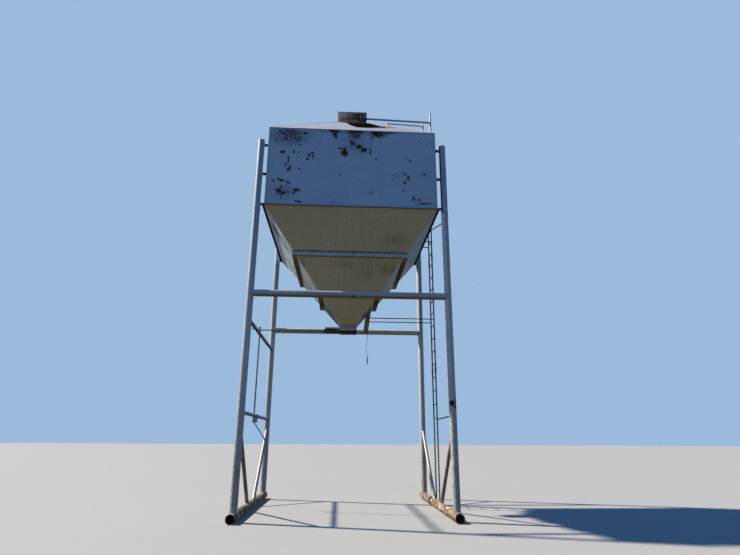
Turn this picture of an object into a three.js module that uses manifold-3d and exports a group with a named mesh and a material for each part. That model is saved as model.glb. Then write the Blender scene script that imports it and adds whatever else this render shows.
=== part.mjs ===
// Overhead feed bin: a square steel bin with a pyramid roof and a steep hopper, carried by four pipe
// legs on two skid pipes, high enough for a truck to drive under the slide gate of its outlet.
// Millimetres, +Z up. The origin is on the ground midway between the skids; the front faces -Y.
import * as THREE from "three";
import { mergeVertices } from "three/addons/utils/BufferGeometryUtils.js";
import { ConvexGeometry } from "three/addons/geometries/ConvexGeometry.js";
import Module from "manifold-3d";

const wasm = await Module();
wasm.setup();

// Clearance between pieces that touch
const GAP = 0.3;

// Bin body
const BIN_HALF = 1829;
const WALL_FOOT = 6070;
const WALL_HEAD = 7940;
const PLATE = 6;
const ROOF_RISE = 1473;
const ROOF_PLATE = 4;

// Hopper and outlet
const OUTLET_HALF = 178;
const OUTLET_Z = 3886;
const HOPPER_RUN = (BIN_HALF - OUTLET_HALF) / (WALL_FOOT - OUTLET_Z);
const SKIRT_LEG = 50;
const UPPER_RING_Z = 5230;
const LOWER_RING_Z = 4480;
const RING_HEIGHT = 102;
const RING_DEPTH = 63;

// Hatch on the roof
const HATCH_HALF = 370;
const COLLAR_HALF = 338;
const LID_FOOT = 9256;
const LID_HEAD = 9433;

// Legs, skids and the pipes between them
const LEG_OD = 139.7;
const LEG_X = 1973;
const LEG_Y = 1854;
const LEG_TOP = 7578;
const LEG_SPLICE_Z = 5960;
const SKID_OD = 168.3;
const SKID_WALL = 7.1;
const SKID_HALF = 2105;
const SKID_Z = (SKID_OD / 2) * Math.cos(Math.PI / 24);
const STUB_OD = 60.3;
const STUB_Y = BIN_HALF - STUB_OD / 2;
const STUB_ZS = [6095, 6800, 7500];
const CROSS_Z = 4146;
const SIDE_OD = 73;
const SIDE_UPPER_Z = 3632;
const SIDE_LOWER_Z = 1869;
const BRACE_OD = 73;
const BRACE_HEAD_Z = 1640;
const BRACE_FOOT_Y = 350;

// Slide gate
const GATE_FOOT = 3738;
const GATE_HEAD = 3832;
const GATE_GUIDE_FOOT = 3765;
const GATE_TAIL = -530;
const GATE_SLOT_FOOT = 3777;
const GATE_SLOT_HEAD = 3795;
const GATE_PLATE = 8;
const GATE_ROD_OD = 25.4;
const GATE_ROD_Z = 3786;
const GATE_ROD_END = -2054;

// Lever of the slide gate
const LEVER_OD = 33.4;
const LEVER_X = -2033;
const LEVER_Y = 60;
const LEVER_WIDE = 24;
const LEVER_PIVOT_Z = 1762;
const LEVER_PIN_OD = 16;
const LEVER_ROD_OFFSET = 26;
const HANDLE_OD = 21.3;
const HANDLE_END = [-1735, LEVER_Y, 1335];

// Ladder
const LADDER_X = 2033;
const LADDER_FRONT_Y = 107;
const LADDER_BACK_Y = 514;
const LADDER_TOP = 8760;
const RAIL_OD = 33.4;
const RUNG_OD = 22;
const RUNG_PITCH = 304.8;
const RUNG_FIRST = 340;
const RUNG_COUNT = 28;
const SPLICE_RUNGS = [9, 18];
const LADDER_ROD_Z = 4128;
const LADDER_ROD_OD = 21.3;
const STAY_OD = 26.7;

// Strut under the hopper and the wire that hangs from it
const STRUT_Y = 100;
const STRUT_WIDTH = 110;
const STRUT_DEPTH = 40;
const STRUT_WEB = 7;
const STRUT_FOOT = [405, STRUT_Y, 3758];
const STRUT_HEAD = [498, STRUT_Y, 4440];
const EYE_Z = 3738;
const WIRE_X = 452;
const WIRE_Y = STRUT_Y - 16;
const WIRE_OD = 8;

// Rails beside the hatch
const POST_OD = 42.4;
const POST_FOOT_Z = 7420;
const NEAR_RAIL_OD = 48.3;
const FAR_RAIL_OD = 33.4;
const PROP_X = 946;

const finishes = {
  wall: [0x8c9aab, 0.55, 0.3],
  hopper: [0x9a9c94, 0.65, 0.3],
  roof: [0xd2cdd0, 0.6, 0.3],
  pipe: [0xc4cbd4, 0.5, 0.3],
  dull: [0x8d949c, 0.6, 0.3],
  rust: [0xa08674, 0.8, 0.2],
  dark: [0x3d3f41, 0.7, 0.4],
  boards: [0x6b5a4a, 0.85, 0.1],
};

// Turns a closed three.js geometry into a solid that can be joined and cut.
function solid(geometry) {
  const bare = geometry.index ? geometry.clone() : geometry;
  bare.deleteAttribute("normal");
  bare.deleteAttribute("uv");
  const merged = mergeVertices(bare, 1e-3);
  return new wasm.Manifold(
    new wasm.Mesh({
      numProp: 3,
      vertProperties: new Float32Array(merged.attributes.position.array),
      triVerts: new Uint32Array(merged.index.array),
    }),
  );
}

// Puts a solid into a group as one named mesh.
function add(parent, name, body, finish) {
  const { vertProperties, triVerts } = body.getMesh();
  const geometry = new THREE.BufferGeometry();
  geometry.setAttribute("position", new THREE.BufferAttribute(vertProperties, 3));
  geometry.setIndex(new THREE.BufferAttribute(triVerts, 1));
  geometry.computeVertexNormals();
  const [color, roughness, metalness] = finishes[finish];
  const mesh = new THREE.Mesh(
    geometry,
    new THREE.MeshStandardMaterial({ color, roughness, metalness }),
  );
  mesh.name = name;
  parent.add(mesh);
}

function join(...bodies) {
  return bodies.reduce((whole, body) => whole.add(body));
}

function cut(body, ...tools) {
  return tools.reduce((rest, tool) => rest.subtract(tool), body);
}

// A box from its lower to its upper corner.
function box(low, high) {
  const size = high.map((value, axis) => value - low[axis]);
  const middle = high.map((value, axis) => (value + low[axis]) / 2);
  return solid(new THREE.BoxGeometry(...size).translate(...middle));
}

// Turns a geometry built along +Y about its middle so that it runs from one point to the other.
function between(geometry, from, to) {
  const start = new THREE.Vector3(...from);
  const end = new THREE.Vector3(...to);
  const way = end.clone().sub(start).normalize();
  const turn = new THREE.Quaternion().setFromUnitVectors(new THREE.Vector3(0, 1, 0), way);
  geometry.applyQuaternion(turn);
  const middle = start.add(end).multiplyScalar(0.5);
  return geometry.translate(middle.x, middle.y, middle.z);
}

function distance(from, to) {
  return new THREE.Vector3(...from).distanceTo(new THREE.Vector3(...to));
}

// A round bar between two points; lying along Y it has a flat facet underneath.
function rod(from, to, diameter, facets = 24) {
  const bar = new THREE.CylinderGeometry(diameter / 2, diameter / 2, distance(from, to), facets);
  return solid(between(bar.rotateY(Math.PI / facets), from, to));
}

// The convex body inside a stack of squares, each given as half its side and its height.
function squareStack(...stack) {
  const points = stack.flatMap(([half, z]) =>
    [[-1, -1], [1, -1], [1, 1], [-1, 1]].map(([x, y]) => new THREE.Vector3(x * half, y * half, z)),
  );
  return solid(new ConvexGeometry(points));
}

// A square ring with the given profile of [half side, height] pairs, in counterclockwise order.
function squareRing(profile) {
  const loop = [...profile, profile[0]];
  const points = loop.map(([half, z]) => new THREE.Vector2(half * Math.SQRT2, z));
  const lathe = new THREE.LatheGeometry(points, 4, Math.PI / 4, 2 * Math.PI);
  return solid(lathe.rotateX(Math.PI / 2));
}

// The quarter of a square ring on its front side, cut free of its neighbours by mitres.
function frontQuarter(ring) {
  const reach = 4000;
  const apex = -GAP * Math.SQRT1_2;
  const wedge = new THREE.Shape([
    new THREE.Vector2(0, apex),
    new THREE.Vector2(-reach, apex - reach),
    new THREE.Vector2(reach, apex - reach),
  ]);
  return ring.intersect(solid(new THREE.ExtrudeGeometry(wedge, { depth: 12000, bevelEnabled: false })));
}

// Four plates round a square, each a turned copy of the front one.
function addFourSides(parent, name, profile, finish) {
  const plate = frontQuarter(squareRing(profile));
  ["front", "right", "back", "left"].forEach((side, turns) => {
    const holder = new THREE.Group();
    holder.rotation.z = (turns * Math.PI) / 2;
    add(holder, `${name}_${side}`, plate, finish);
    parent.add(holder);
  });
}

// Half the hopper's outside width at a height.
function hopperHalf(z) {
  return OUTLET_HALF + (z - OUTLET_Z) * HOPPER_RUN;
}

function makeBin() {
  const bin = new THREE.Group();
  addFourSides(
    bin,
    "wall",
    [
      [BIN_HALF - PLATE, WALL_FOOT],
      [BIN_HALF, WALL_FOOT],
      [BIN_HALF, WALL_HEAD],
      [BIN_HALF - PLATE, WALL_HEAD],
    ],
    "wall",
  );
  const inside = BIN_HALF + GAP;
  const skirt = squareRing([
    [inside, WALL_FOOT],
    [inside + SKIRT_LEG, WALL_FOOT],
    [inside + SKIRT_LEG, WALL_FOOT + PLATE],
    [inside + PLATE, WALL_FOOT + PLATE],
    [inside + PLATE, WALL_FOOT + SKIRT_LEG],
    [inside, WALL_FOOT + SKIRT_LEG],
  ]);
  add(bin, "skirt_angle", skirt, "dull");
  return bin;
}

// A channel ring whose flanges are scribed to the slope of the hopper.
function hopperRing(z) {
  const low = z - RING_HEIGHT / 2;
  const high = z + RING_HEIGHT / 2;
  const face = hopperHalf(z) + RING_DEPTH;
  const touch = (height) => hopperHalf(height) + GAP * 1.3;
  return squareRing([
    [touch(low), low],
    [face, low],
    [face, high],
    [touch(high), high],
    [touch(high - PLATE), high - PLATE],
    [face - PLATE, high - PLATE],
    [face - PLATE, low + PLATE],
    [touch(low + PLATE), low + PLATE],
  ]);
}

function makeHopper() {
  const hopper = new THREE.Group();
  const top = WALL_FOOT - GAP;
  const step = PLATE * Math.hypot(1, HOPPER_RUN);
  addFourSides(
    hopper,
    "hopper",
    [
      [OUTLET_HALF - step, OUTLET_Z],
      [OUTLET_HALF, OUTLET_Z],
      [hopperHalf(top), top],
      [hopperHalf(top) - step, top],
    ],
    "hopper",
  );
  add(hopper, "hopper_ring_upper", hopperRing(UPPER_RING_Z), "dull");
  add(hopper, "hopper_ring_lower", hopperRing(LOWER_RING_Z), "dull");
  return hopper;
}

// Height of the roof's upper face at a distance from the middle.
function roofAt(half) {
  return WALL_HEAD + GAP + ROOF_PLATE + ((BIN_HALF - half) * ROOF_RISE) / BIN_HALF;
}

function makeRoof() {
  const roof = new THREE.Group();
  const mouth = COLLAR_HALF - 10;
  addFourSides(
    roof,
    "roof",
    [
      [BIN_HALF, WALL_HEAD + GAP],
      [BIN_HALF, roofAt(BIN_HALF)],
      [mouth, roofAt(mouth)],
      [mouth, roofAt(mouth) - ROOF_PLATE],
    ],
    "roof",
  );
  const rim = LID_HEAD - PLATE - GAP;
  const collar = squareRing([
    [COLLAR_HALF, roofAt(COLLAR_HALF) + GAP],
    [COLLAR_HALF, rim],
    [COLLAR_HALF - PLATE, rim],
    [COLLAR_HALF - PLATE, roofAt(COLLAR_HALF - PLATE) + GAP],
  ]);
  add(roof, "hatch_collar", collar, "roof");
  const lid = box([-HATCH_HALF, -HATCH_HALF, LID_FOOT], [HATCH_HALF, HATCH_HALF, LID_HEAD]);
  const hollow = HATCH_HALF - PLATE;
  const room = box([-hollow, -hollow, LID_FOOT - 1], [hollow, hollow, LID_HEAD - PLATE]);
  add(roof, "hatch_lid", cut(lid, room), "boards");
  return roof;
}

// Room that a leg, a skid or a ladder rail takes out of the pipes that meet it.
function legRoom(x, y) {
  return rod([x, y, 0], [x, y, LEG_TOP + 10], LEG_OD + 2 * GAP);
}

function skidRoom(x) {
  return rod([x, -SKID_HALF - 50, SKID_Z], [x, SKID_HALF + 50, SKID_Z], SKID_OD + 2.5 * GAP);
}

function railRoom(y) {
  return rod([LADDER_X, y, 0], [LADDER_X, y, LADDER_TOP], RAIL_OD + 2 * GAP, 16);
}

// The upper length of a leg, with the stubs that tie it to the side of the bin.
function legHead(sx, sy) {
  const x = sx * LEG_X;
  const y = sy * LEG_Y;
  const pipe = rod([x, y, LEG_SPLICE_Z + GAP], [x, y, LEG_TOP], LEG_OD);
  const stubs = STUB_ZS.map((z) => rod([x, sy * STUB_Y, z], [0, sy * STUB_Y, z], STUB_OD, 16));
  const shelves = [
    [BIN_HALF, LEG_TOP],
    [BIN_HALF + GAP + PLATE, WALL_FOOT + SKIRT_LEG],
    [BIN_HALF + GAP + SKIRT_LEG, WALL_FOOT + PLATE],
  ].map(([half, z]) => box([-half - GAP, -3000, 0], [half + GAP, 3000, z + GAP]));
  return cut(join(pipe, ...stubs), ...shelves);
}

function makeStand() {
  const stand = new THREE.Group();
  for (const [side, x] of [["left", -LEG_X], ["right", LEG_X]]) {
    const bore = SKID_OD - 2 * SKID_WALL;
    const outer = rod([x, -SKID_HALF, SKID_Z], [x, SKID_HALF, SKID_Z], SKID_OD);
    const inner = rod([x, -SKID_HALF - 1, SKID_Z], [x, SKID_HALF + 1, SKID_Z], bore);
    add(stand, `skid_${side}`, cut(outer, inner), "rust");
  }
  for (const [end, sy] of [["front", -1], ["back", 1]]) {
    for (const [side, sx] of [["left", -1], ["right", 1]]) {
      const x = sx * LEG_X;
      const y = sy * LEG_Y;
      const leg = rod([x, y, SKID_Z], [x, y, LEG_SPLICE_Z], LEG_OD);
      add(stand, `leg_${end}_${side}`, cut(leg, skidRoom(x)), "pipe");
      add(stand, `leg_head_${end}_${side}`, legHead(sx, sy), "pipe");
      const brace = rod([x, y, BRACE_HEAD_Z], [x, sy * BRACE_FOOT_Y, SKID_Z], BRACE_OD, 20);
      add(stand, `brace_${end}_${side}`, cut(brace, legRoom(x, y), skidRoom(x)), "dull");
    }
    const y = sy * LEG_Y;
    const cross = rod([-LEG_X, y, CROSS_Z], [LEG_X, y, CROSS_Z], LEG_OD);
    add(stand, `cross_pipe_${end}`, cut(cross, legRoom(-LEG_X, y), legRoom(LEG_X, y)), "dull");
  }
  for (const [level, z] of [["upper", SIDE_UPPER_Z], ["lower", SIDE_LOWER_Z]]) {
    const pipe = rod([-LEG_X, -LEG_Y, z], [-LEG_X, LEG_Y, z], SIDE_OD);
    const ends = [legRoom(-LEG_X, -LEG_Y), legRoom(-LEG_X, LEG_Y)];
    add(stand, `side_pipe_${level}`, cut(pipe, ...ends), "dull");
  }
  return stand;
}

// The frame that the gate slides in: four sides under the outlet and two guides out to the left.
function gateFrame(slotHalf) {
  const half = OUTLET_HALF + 10;
  const bore = OUTLET_HALF - 18;
  const sides = box([-half, -half, GATE_FOOT], [half, half, GATE_HEAD]);
  const guides = box([GATE_TAIL, -half, GATE_GUIDE_FOOT], [-half + 1, half, GATE_HEAD]);
  const mouth = box([-bore, -bore, GATE_FOOT - 1], [bore, bore, GATE_HEAD + 1]);
  const tray = box([GATE_TAIL - 1, -bore, GATE_FOOT - 1], [-half, bore, GATE_HEAD + 1]);
  const slot = box(
    [GATE_TAIL - 1, -slotHalf, GATE_SLOT_FOOT],
    [slotHalf, slotHalf, GATE_SLOT_HEAD],
  );
  return cut(join(sides, guides), mouth, tray, slot);
}

// The gate's plate, the upstand on its tail, and the long rod with the pin that the lever works.
function slideGate(slotHalf) {
  const half = slotHalf - 5;
  const foot = GATE_SLOT_FOOT + GAP;
  const tail = GATE_TAIL - 20;
  const y = LEVER_Y - LEVER_ROD_OFFSET;
  const plate = box([tail, -half, foot], [half, half, foot + GATE_PLATE]);
  const upstand = box([tail, y - 40, GATE_ROD_Z - 30], [tail + 10, y + 40, GATE_ROD_Z + 30]);
  const bar = rod([tail + 5, y, GATE_ROD_Z], [GATE_ROD_END, y, GATE_ROD_Z], GATE_ROD_OD, 16);
  const pinEnd = [LEVER_X, LEVER_Y + 14, GATE_ROD_Z];
  const pin = rod([LEVER_X, y, GATE_ROD_Z], pinEnd, LEVER_PIN_OD, 16);
  return join(plate, upstand, bar, pin);
}

// A short bar through the lever, along Y.
function acrossLever(z, diameter, reach) {
  return rod([LEVER_X, LEVER_Y - reach, z], [LEVER_X, LEVER_Y + reach, z], diameter, 16);
}

// The lever: a tall rod with a slotted head, a flat foot on the pivot, and a slanting handle.
function gateLever() {
  const flat = (low, high) => {
    return box([LEVER_X - LEVER_WIDE, LEVER_Y - 5, low], [LEVER_X + LEVER_WIDE, LEVER_Y + 5, high]);
  };
  const bar = rod([LEVER_X, LEVER_Y, 1815], [LEVER_X, LEVER_Y, 3755], LEVER_OD, 16);
  const handle = rod([LEVER_X + 8, LEVER_Y, LEVER_PIVOT_Z - 12], HANDLE_END, HANDLE_OD, 12);
  const whole = join(flat(LEVER_PIVOT_Z - 30, 1830), bar, flat(3740, 3860), handle);
  const room = LEVER_PIN_OD + 4;
  const slotLow = GATE_ROD_Z - 1;
  const slotHigh = GATE_ROD_Z + 34;
  const slotMiddle = box(
    [LEVER_X - room / 2, LEVER_Y - 20, slotLow],
    [LEVER_X + room / 2, LEVER_Y + 20, slotHigh],
  );
  const slot = join(acrossLever(slotLow, room, 20), slotMiddle, acrossLever(slotHigh, room, 20));
  return cut(whole, slot, acrossLever(LEVER_PIVOT_Z, LEVER_PIN_OD + 1, 20));
}

// The lever's bracket: two cheeks and a back under the lower side pipe, with the pivot pin.
function leverBracket() {
  const low = LEVER_PIVOT_Z - LEVER_WIDE;
  const back = -LEG_X + 20;
  const cheeks = [-30, 22].map((y) => {
    return box([LEVER_X - 22, LEVER_Y + y, low], [back, LEVER_Y + y + 8, SIDE_LOWER_Z]);
  });
  const bridge = box([back - 14, LEVER_Y - 24, low], [back, LEVER_Y + 24, SIDE_LOWER_Z]);
  const pin = acrossLever(LEVER_PIVOT_Z, LEVER_PIN_OD, 36);
  const pipeRoom = rod(
    [-LEG_X, LEVER_Y - 60, SIDE_LOWER_Z],
    [-LEG_X, LEVER_Y + 60, SIDE_LOWER_Z],
    SIDE_OD + 2 * GAP,
  );
  return cut(join(...cheeks, bridge, pin), pipeRoom);
}

function makeGate() {
  const gate = new THREE.Group();
  const foot = GATE_HEAD + GAP;
  const neck = squareRing([
    [OUTLET_HALF, foot],
    [OUTLET_HALF, OUTLET_Z - GAP],
    [OUTLET_HALF - PLATE, OUTLET_Z - GAP],
    [OUTLET_HALF - PLATE, foot],
  ]);
  const slotHalf = OUTLET_HALF - 1;
  add(gate, "outlet_neck", neck, "hopper");
  add(gate, "gate_frame", gateFrame(slotHalf), "dark");
  add(gate, "slide_gate", slideGate(slotHalf), "dark");
  add(gate, "gate_lever", gateLever(), "dark");
  add(gate, "lever_bracket", leverBracket(), "dark");
  return gate;
}

// The height of a rung; a half number gives the middle of the gap above the rung before it.
function rungZ(count) {
  return RUNG_FIRST + count * RUNG_PITCH;
}

// One length of the ladder: rails, rungs, and stand-offs that reach to the given heights and faces.
function ladderSection(firstRung, endRung, foot, head, seats) {
  const ys = [LADDER_FRONT_Y, LADDER_BACK_Y];
  const rails = ys.map((y) => rod([LADDER_X, y, foot], [LADDER_X, y, head], RAIL_OD, 16));
  const rungs = Array.from({ length: endRung - firstRung }, (_, i) => {
    const z = rungZ(firstRung + i);
    return rod([LADDER_X, ys[0], z], [LADDER_X, ys[1], z], RUNG_OD, 8);
  });
  const ties = ys.flatMap((y) =>
    seats.map(([z, x]) => box([x, y - 5, z - 12], [LADDER_X, y + 5, z + 12])),
  );
  return join(...rails, ...rungs, ...ties);
}

// How far the strut has moved to the right at a height.
function strutX(z) {
  const lean = (STRUT_HEAD[0] - STRUT_FOOT[0]) / (STRUT_HEAD[2] - STRUT_FOOT[2]);
  return STRUT_FOOT[0] + (z - STRUT_FOOT[2]) * lean;
}

// A channel section with its web to the front, run from the strut's foot to its head.
function strutChannel() {
  const wide = STRUT_WIDTH / 2;
  const deep = STRUT_DEPTH / 2;
  const outline = [
    [-wide, -deep],
    [wide, -deep],
    [wide, deep],
    [wide - STRUT_WEB, deep],
    [wide - STRUT_WEB, -deep + STRUT_WEB],
    [-wide + STRUT_WEB, -deep + STRUT_WEB],
    [-wide + STRUT_WEB, deep],
    [-wide, deep],
  ];
  const shape = new THREE.Shape(outline.map(([x, y]) => new THREE.Vector2(x, y)));
  const length = distance(STRUT_FOOT, STRUT_HEAD);
  const bar = new THREE.ExtrudeGeometry(shape, { depth: length, bevelEnabled: false });
  const lean = Math.atan2(STRUT_HEAD[0] - STRUT_FOOT[0], STRUT_HEAD[2] - STRUT_FOOT[2]);
  return solid(bar.rotateY(lean).translate(...STRUT_FOOT));
}

function makeLadder() {
  const side = new THREE.Group();
  const [lowSplice, highSplice] = SPLICE_RUNGS.map((rung) => rungZ(rung - 0.5));
  const lower = ladderSection(0, SPLICE_RUNGS[0], SKID_Z, lowSplice - GAP, []);
  const middle = ladderSection(...SPLICE_RUNGS, lowSplice, highSplice - GAP, []);
  const upper = ladderSection(SPLICE_RUNGS[1], RUNG_COUNT, highSplice, LADDER_TOP, [
    [WALL_FOOT + 32, BIN_HALF + PLATE + 2 * GAP],
    [7700, BIN_HALF + GAP],
  ]);
  add(side, "ladder_lower", cut(lower, skidRoom(LEG_X)), "pipe");
  add(side, "ladder_middle", middle, "pipe");
  add(side, "ladder_upper", upper, "pipe");
  const channel = strutChannel();
  const armX = strutX(LADDER_ROD_Z) + STRUT_WIDTH / 2 - 2;
  const arm = box(
    [armX - 10, STRUT_Y, LADDER_ROD_Z - 25],
    [armX, LADDER_BACK_Y + 25, LADDER_ROD_Z + 25],
  );
  const hopperRoom = squareStack(
    [OUTLET_HALF + GAP * 1.3, OUTLET_Z],
    [BIN_HALF + GAP * 1.3, WALL_FOOT],
  );
  const eye = box([WIRE_X - 8, WIRE_Y - 4, EYE_Z], [WIRE_X + 8, WIRE_Y + 4, STRUT_FOOT[2] + 10]);
  add(side, "hanger_strut", cut(join(channel, arm, eye), hopperRoom), "boards");
  const frontStart = [armX - 40, LADDER_FRONT_Y, LADDER_ROD_Z];
  const frontRod = rod(frontStart, [LADDER_X, LADDER_FRONT_Y, LADDER_ROD_Z], LADDER_ROD_OD, 12);
  const lip = box([0, 0, 4000], [armX, LADDER_BACK_Y, 4250]);
  const flange = join(channel, lip).translate([GAP, 0, 0]);
  const railFront = railRoom(LADDER_FRONT_Y);
  add(side, "ladder_rod_front", cut(frontRod, railFront, flange), "dull");
  const backStart = [armX + GAP, LADDER_BACK_Y, LADDER_ROD_Z];
  const backRod = rod(backStart, [LADDER_X, LADDER_BACK_Y, LADDER_ROD_Z], LADDER_ROD_OD, 12);
  add(side, "ladder_rod_back", cut(backRod, railRoom(LADDER_BACK_Y)), "dull");
  for (const [level, legZ, railZ] of [["upper", 5790, 6400], ["lower", 1830, 1830]]) {
    const stay = rod([LEG_X, -LEG_Y, legZ], [LADDER_X, LADDER_FRONT_Y, railZ], STAY_OD, 12);
    add(side, `stay_${level}`, cut(stay, legRoom(LEG_X, -LEG_Y), railFront), "dull");
  }
  return side;
}

// A post beside the bin, held to the wall by two flat tabs.
function wallPost(x, y, top) {
  const post = rod([x, y, POST_FOOT_Z], [x, y, top], POST_OD, 16);
  const tabs = [60, 360].map((rise) => {
    const z = POST_FOOT_Z + rise;
    return box([BIN_HALF + GAP, y - 20, z - 4], [x, y + 20, z + 4]);
  });
  return join(post, ...tabs);
}

function makeHatchRails() {
  const rails = new THREE.Group();
  const nearRail = rod([HATCH_HALF + 1, -300, 9292], [2030, -300, 9248], NEAR_RAIL_OD, 16);
  add(rails, "hatch_rail_front", join(wallPost(2030, -300, 9525), nearRail), "pipe");
  const farRail = rod([PROP_X - 16, -40, 9352], [1875, -40, 9310], FAR_RAIL_OD, 16);
  const prop = rod([PROP_X, -40, 8200], [PROP_X, -40, 9350], FAR_RAIL_OD, 16);
  const roofRoom = squareStack(
    [BIN_HALF, roofAt(BIN_HALF) + 2 * GAP],
    [COLLAR_HALF, roofAt(COLLAR_HALF) + 2 * GAP],
  );
  const propped = cut(join(farRail, prop), roofRoom);
  add(rails, "hatch_rail_back", join(wallPost(1875, -40, 9445), propped), "pipe");
  return rails;
}

// The pull wire's way down in [x, z], from the eye to the grip.
const WIRE_FOOT = 3206;
const WIRE_ROUTE = [
  [WIRE_X, EYE_Z - GAP],
  [451.5, 3707.9], [450.5, 3678], [449.1, 3648.2], [447.3, 3618.4], [445.1, 3588.7],
  [442.7, 3558.9], [439.7, 3529.2], [435.9, 3499.6], [429.6, 3470.4], [422.6, 3441.4],
  [419.9, 3411.8], [422.5, 3382.1], [427.6, 3352.6], [433.6, 3323.4], [441.3, 3294.6],
  [447.8, 3265.4], [451.3, 3235.8],
  [WIRE_X, WIRE_FOOT],
];

// The pull wire's tube along its route, and the grip on its end.
function makePull() {
  const pull = new THREE.Group();
  const route = new THREE.CatmullRomCurve3(
    WIRE_ROUTE.map(([x, z]) => new THREE.Vector3(x, WIRE_Y, z)),
  );
  const ring = new THREE.EllipseCurve(0, 0, WIRE_OD / 2, WIRE_OD / 2, 0, 2 * Math.PI);
  const section = new THREE.Shape(ring.getPoints(10).slice(0, 10));
  const tube = new THREE.ExtrudeGeometry(section, { steps: 36, extrudePath: route });
  add(pull, "pull_wire", solid(tube), "dark");
  const grip = rod([WIRE_X, WIRE_Y, WIRE_FOOT - GAP], [WIRE_X, WIRE_Y, WIRE_FOOT - 160], 26, 12);
  add(pull, "pull_grip", grip, "dark");
  return pull;
}

const group = new THREE.Group();
group.name = "overhead_feed_bin";
const assemblies = [makeBin, makeHopper, makeRoof, makeStand, makeGate, makeLadder];
for (const make of [...assemblies, makeHatchRails, makePull]) {
  group.add(make());
}

export default group;
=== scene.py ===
"""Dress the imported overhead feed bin: finishes, welds, fasteners, weathering, light and camera.

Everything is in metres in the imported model's frame: +Z up, the front facing -Y, and the origin at
floor level midway between the two skids.
"""

import logging
import math
import random
from collections.abc import Sequence
from dataclasses import dataclass, replace
from enum import Enum

import bmesh
import bpy
from mathutils import Matrix, Vector


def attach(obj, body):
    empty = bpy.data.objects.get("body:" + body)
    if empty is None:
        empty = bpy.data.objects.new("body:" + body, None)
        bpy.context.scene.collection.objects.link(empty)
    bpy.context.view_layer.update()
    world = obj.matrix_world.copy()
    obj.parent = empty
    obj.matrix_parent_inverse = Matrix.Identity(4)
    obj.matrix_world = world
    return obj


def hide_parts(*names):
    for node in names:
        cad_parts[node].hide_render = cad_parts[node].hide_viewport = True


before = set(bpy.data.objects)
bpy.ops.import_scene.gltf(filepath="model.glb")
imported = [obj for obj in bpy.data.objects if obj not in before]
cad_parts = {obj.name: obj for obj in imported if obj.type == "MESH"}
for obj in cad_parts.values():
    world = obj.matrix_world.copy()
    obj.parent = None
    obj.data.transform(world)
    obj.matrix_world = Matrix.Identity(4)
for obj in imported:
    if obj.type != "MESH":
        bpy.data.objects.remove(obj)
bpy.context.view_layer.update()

LOG = logging.getLogger("feed_bin")

Point = tuple[float, float, float]

# Pairs of measures, such as the radius and the height of each step in a turned profile
Pairs = Sequence[tuple[float, float]]

# Sockets of a Mix node that blends colours
MIX_FACTOR, MIX_FIRST, MIX_SECOND, MIX_RESULT = 0, 6, 7, 2

# A patch pulls in full within the first share of its radii, and not at all past the second
PATCH_CORE, PATCH_EDGE = 0.3, 1.3

RIGHT, BACK, UP = Vector((1, 0, 0)), Vector((0, 1, 0)), Vector((0, 0, 1))

# Signs of a square's corners in x and y, in order round it, and of the legs, the front pair first
CORNERS = ((-1, -1), (1, -1), (1, 1), (-1, 1))
LEG_SIGNS = ((-1, -1), (1, -1), (-1, 1), (1, 1))

# Past these angles an edge is an arris to ease, is split for shading, or stays sharp
ARRIS_ANGLE, SPLIT_ANGLE, SHARP_ANGLE = (math.radians(angle) for angle in (50, 32, 38))

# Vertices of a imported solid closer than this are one
MERGE_GAP = 2e-5

# How far a weld bead swells and shrinks, as a share of its radius
BEAD_RIPPLE = 0.16

# Points round a leg, a side pipe and a stub
LEG_POINTS, SIDE_POINTS, STUB_POINTS = 48, 30, 24


def linear(code: str) -> tuple[float, float, float, float]:
    """Turn an sRGB hex value into a linear colour.

    Args:
        code: Six hex digits.

    Returns:
        Linear red, green and blue, and an alpha of one.
    """
    values = [int(code[i : i + 2], 16) / 255 for i in (0, 2, 4)]
    red, green, blue = (v / 12.92 if v <= 0.04045 else ((v + 0.055) / 1.055) ** 2.4 for v in values)
    return red, green, blue, 1.0


def fill_ramp(elements: bpy.types.ColorRampElements, stops: Sequence[tuple[float, str]]) -> None:
    """Give a new colour ramp its stops.

    Args:
        elements: The ramp's elements, still the two that it starts with.
        stops: Positions and sRGB hex values, in rising order.
    """
    for end, (position, code) in zip(elements, (stops[0], stops[-1])):
        end.position = position
        end.color = linear(code)
    for position, code in stops[1:-1]:
        elements.new(position).color = linear(code)


class Tree:
    """The shader nodes of one material, or of the surroundings."""

    def __init__(self, name: str, world: bool = False) -> None:
        """Start with no nodes.

        Args:
            name: The material's name.
            world: Whether the nodes light the surroundings instead.
        """
        self.owner = (bpy.data.worlds if world else bpy.data.materials).new(name)
        self.owner.use_nodes = True
        self.owner.node_tree.nodes.clear()

    def node(
        self,
        kind: str,
        sockets: dict[int | str, object] | None = None,
        out: int | str = 0,
        **settings: object,
    ) -> bpy.types.NodeSocket | None:
        """Add one shader node.

        Args:
            kind: The node's type without its ShaderNode prefix.
            sockets: Values or links for its inputs, by name or number.
            out: The output to hand back, by name or number.
            **settings: The node's own settings; stops gives a colour ramp's positions and colours.

        Returns:
            The chosen output, or None if the node has none.
        """
        tree = self.owner.node_tree
        made = tree.nodes.new("ShaderNode" + kind)
        if kind == "ValToRGB":
            fill_ramp(made.color_ramp.elements, settings.pop("stops"))
        for key, value in settings.items():
            setattr(made, key, value)
        for socket, value in (sockets or {}).items():
            if isinstance(value, bpy.types.NodeSocket):
                tree.links.new(value, made.inputs[socket])
            else:
                made.inputs[socket].default_value = value
        return made.outputs[out] if len(made.outputs) else None

    def place(self) -> bpy.types.NodeSocket:
        """Give the shaded point's place in the frame, in metres, as a plain vector."""
        point = self.node("TexCoord", out="Object")
        return self.node("VectorMath", {0: point, 1: (1, 1, 1)}, operation="MULTIPLY")


@dataclass(frozen=True)
class Patch:
    """An elliptical area where a coat has failed or a surface is stained, or where light or shade
    is painted.
    """

    centre: Point
    radii: Point
    strength: float = 0.2


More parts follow.
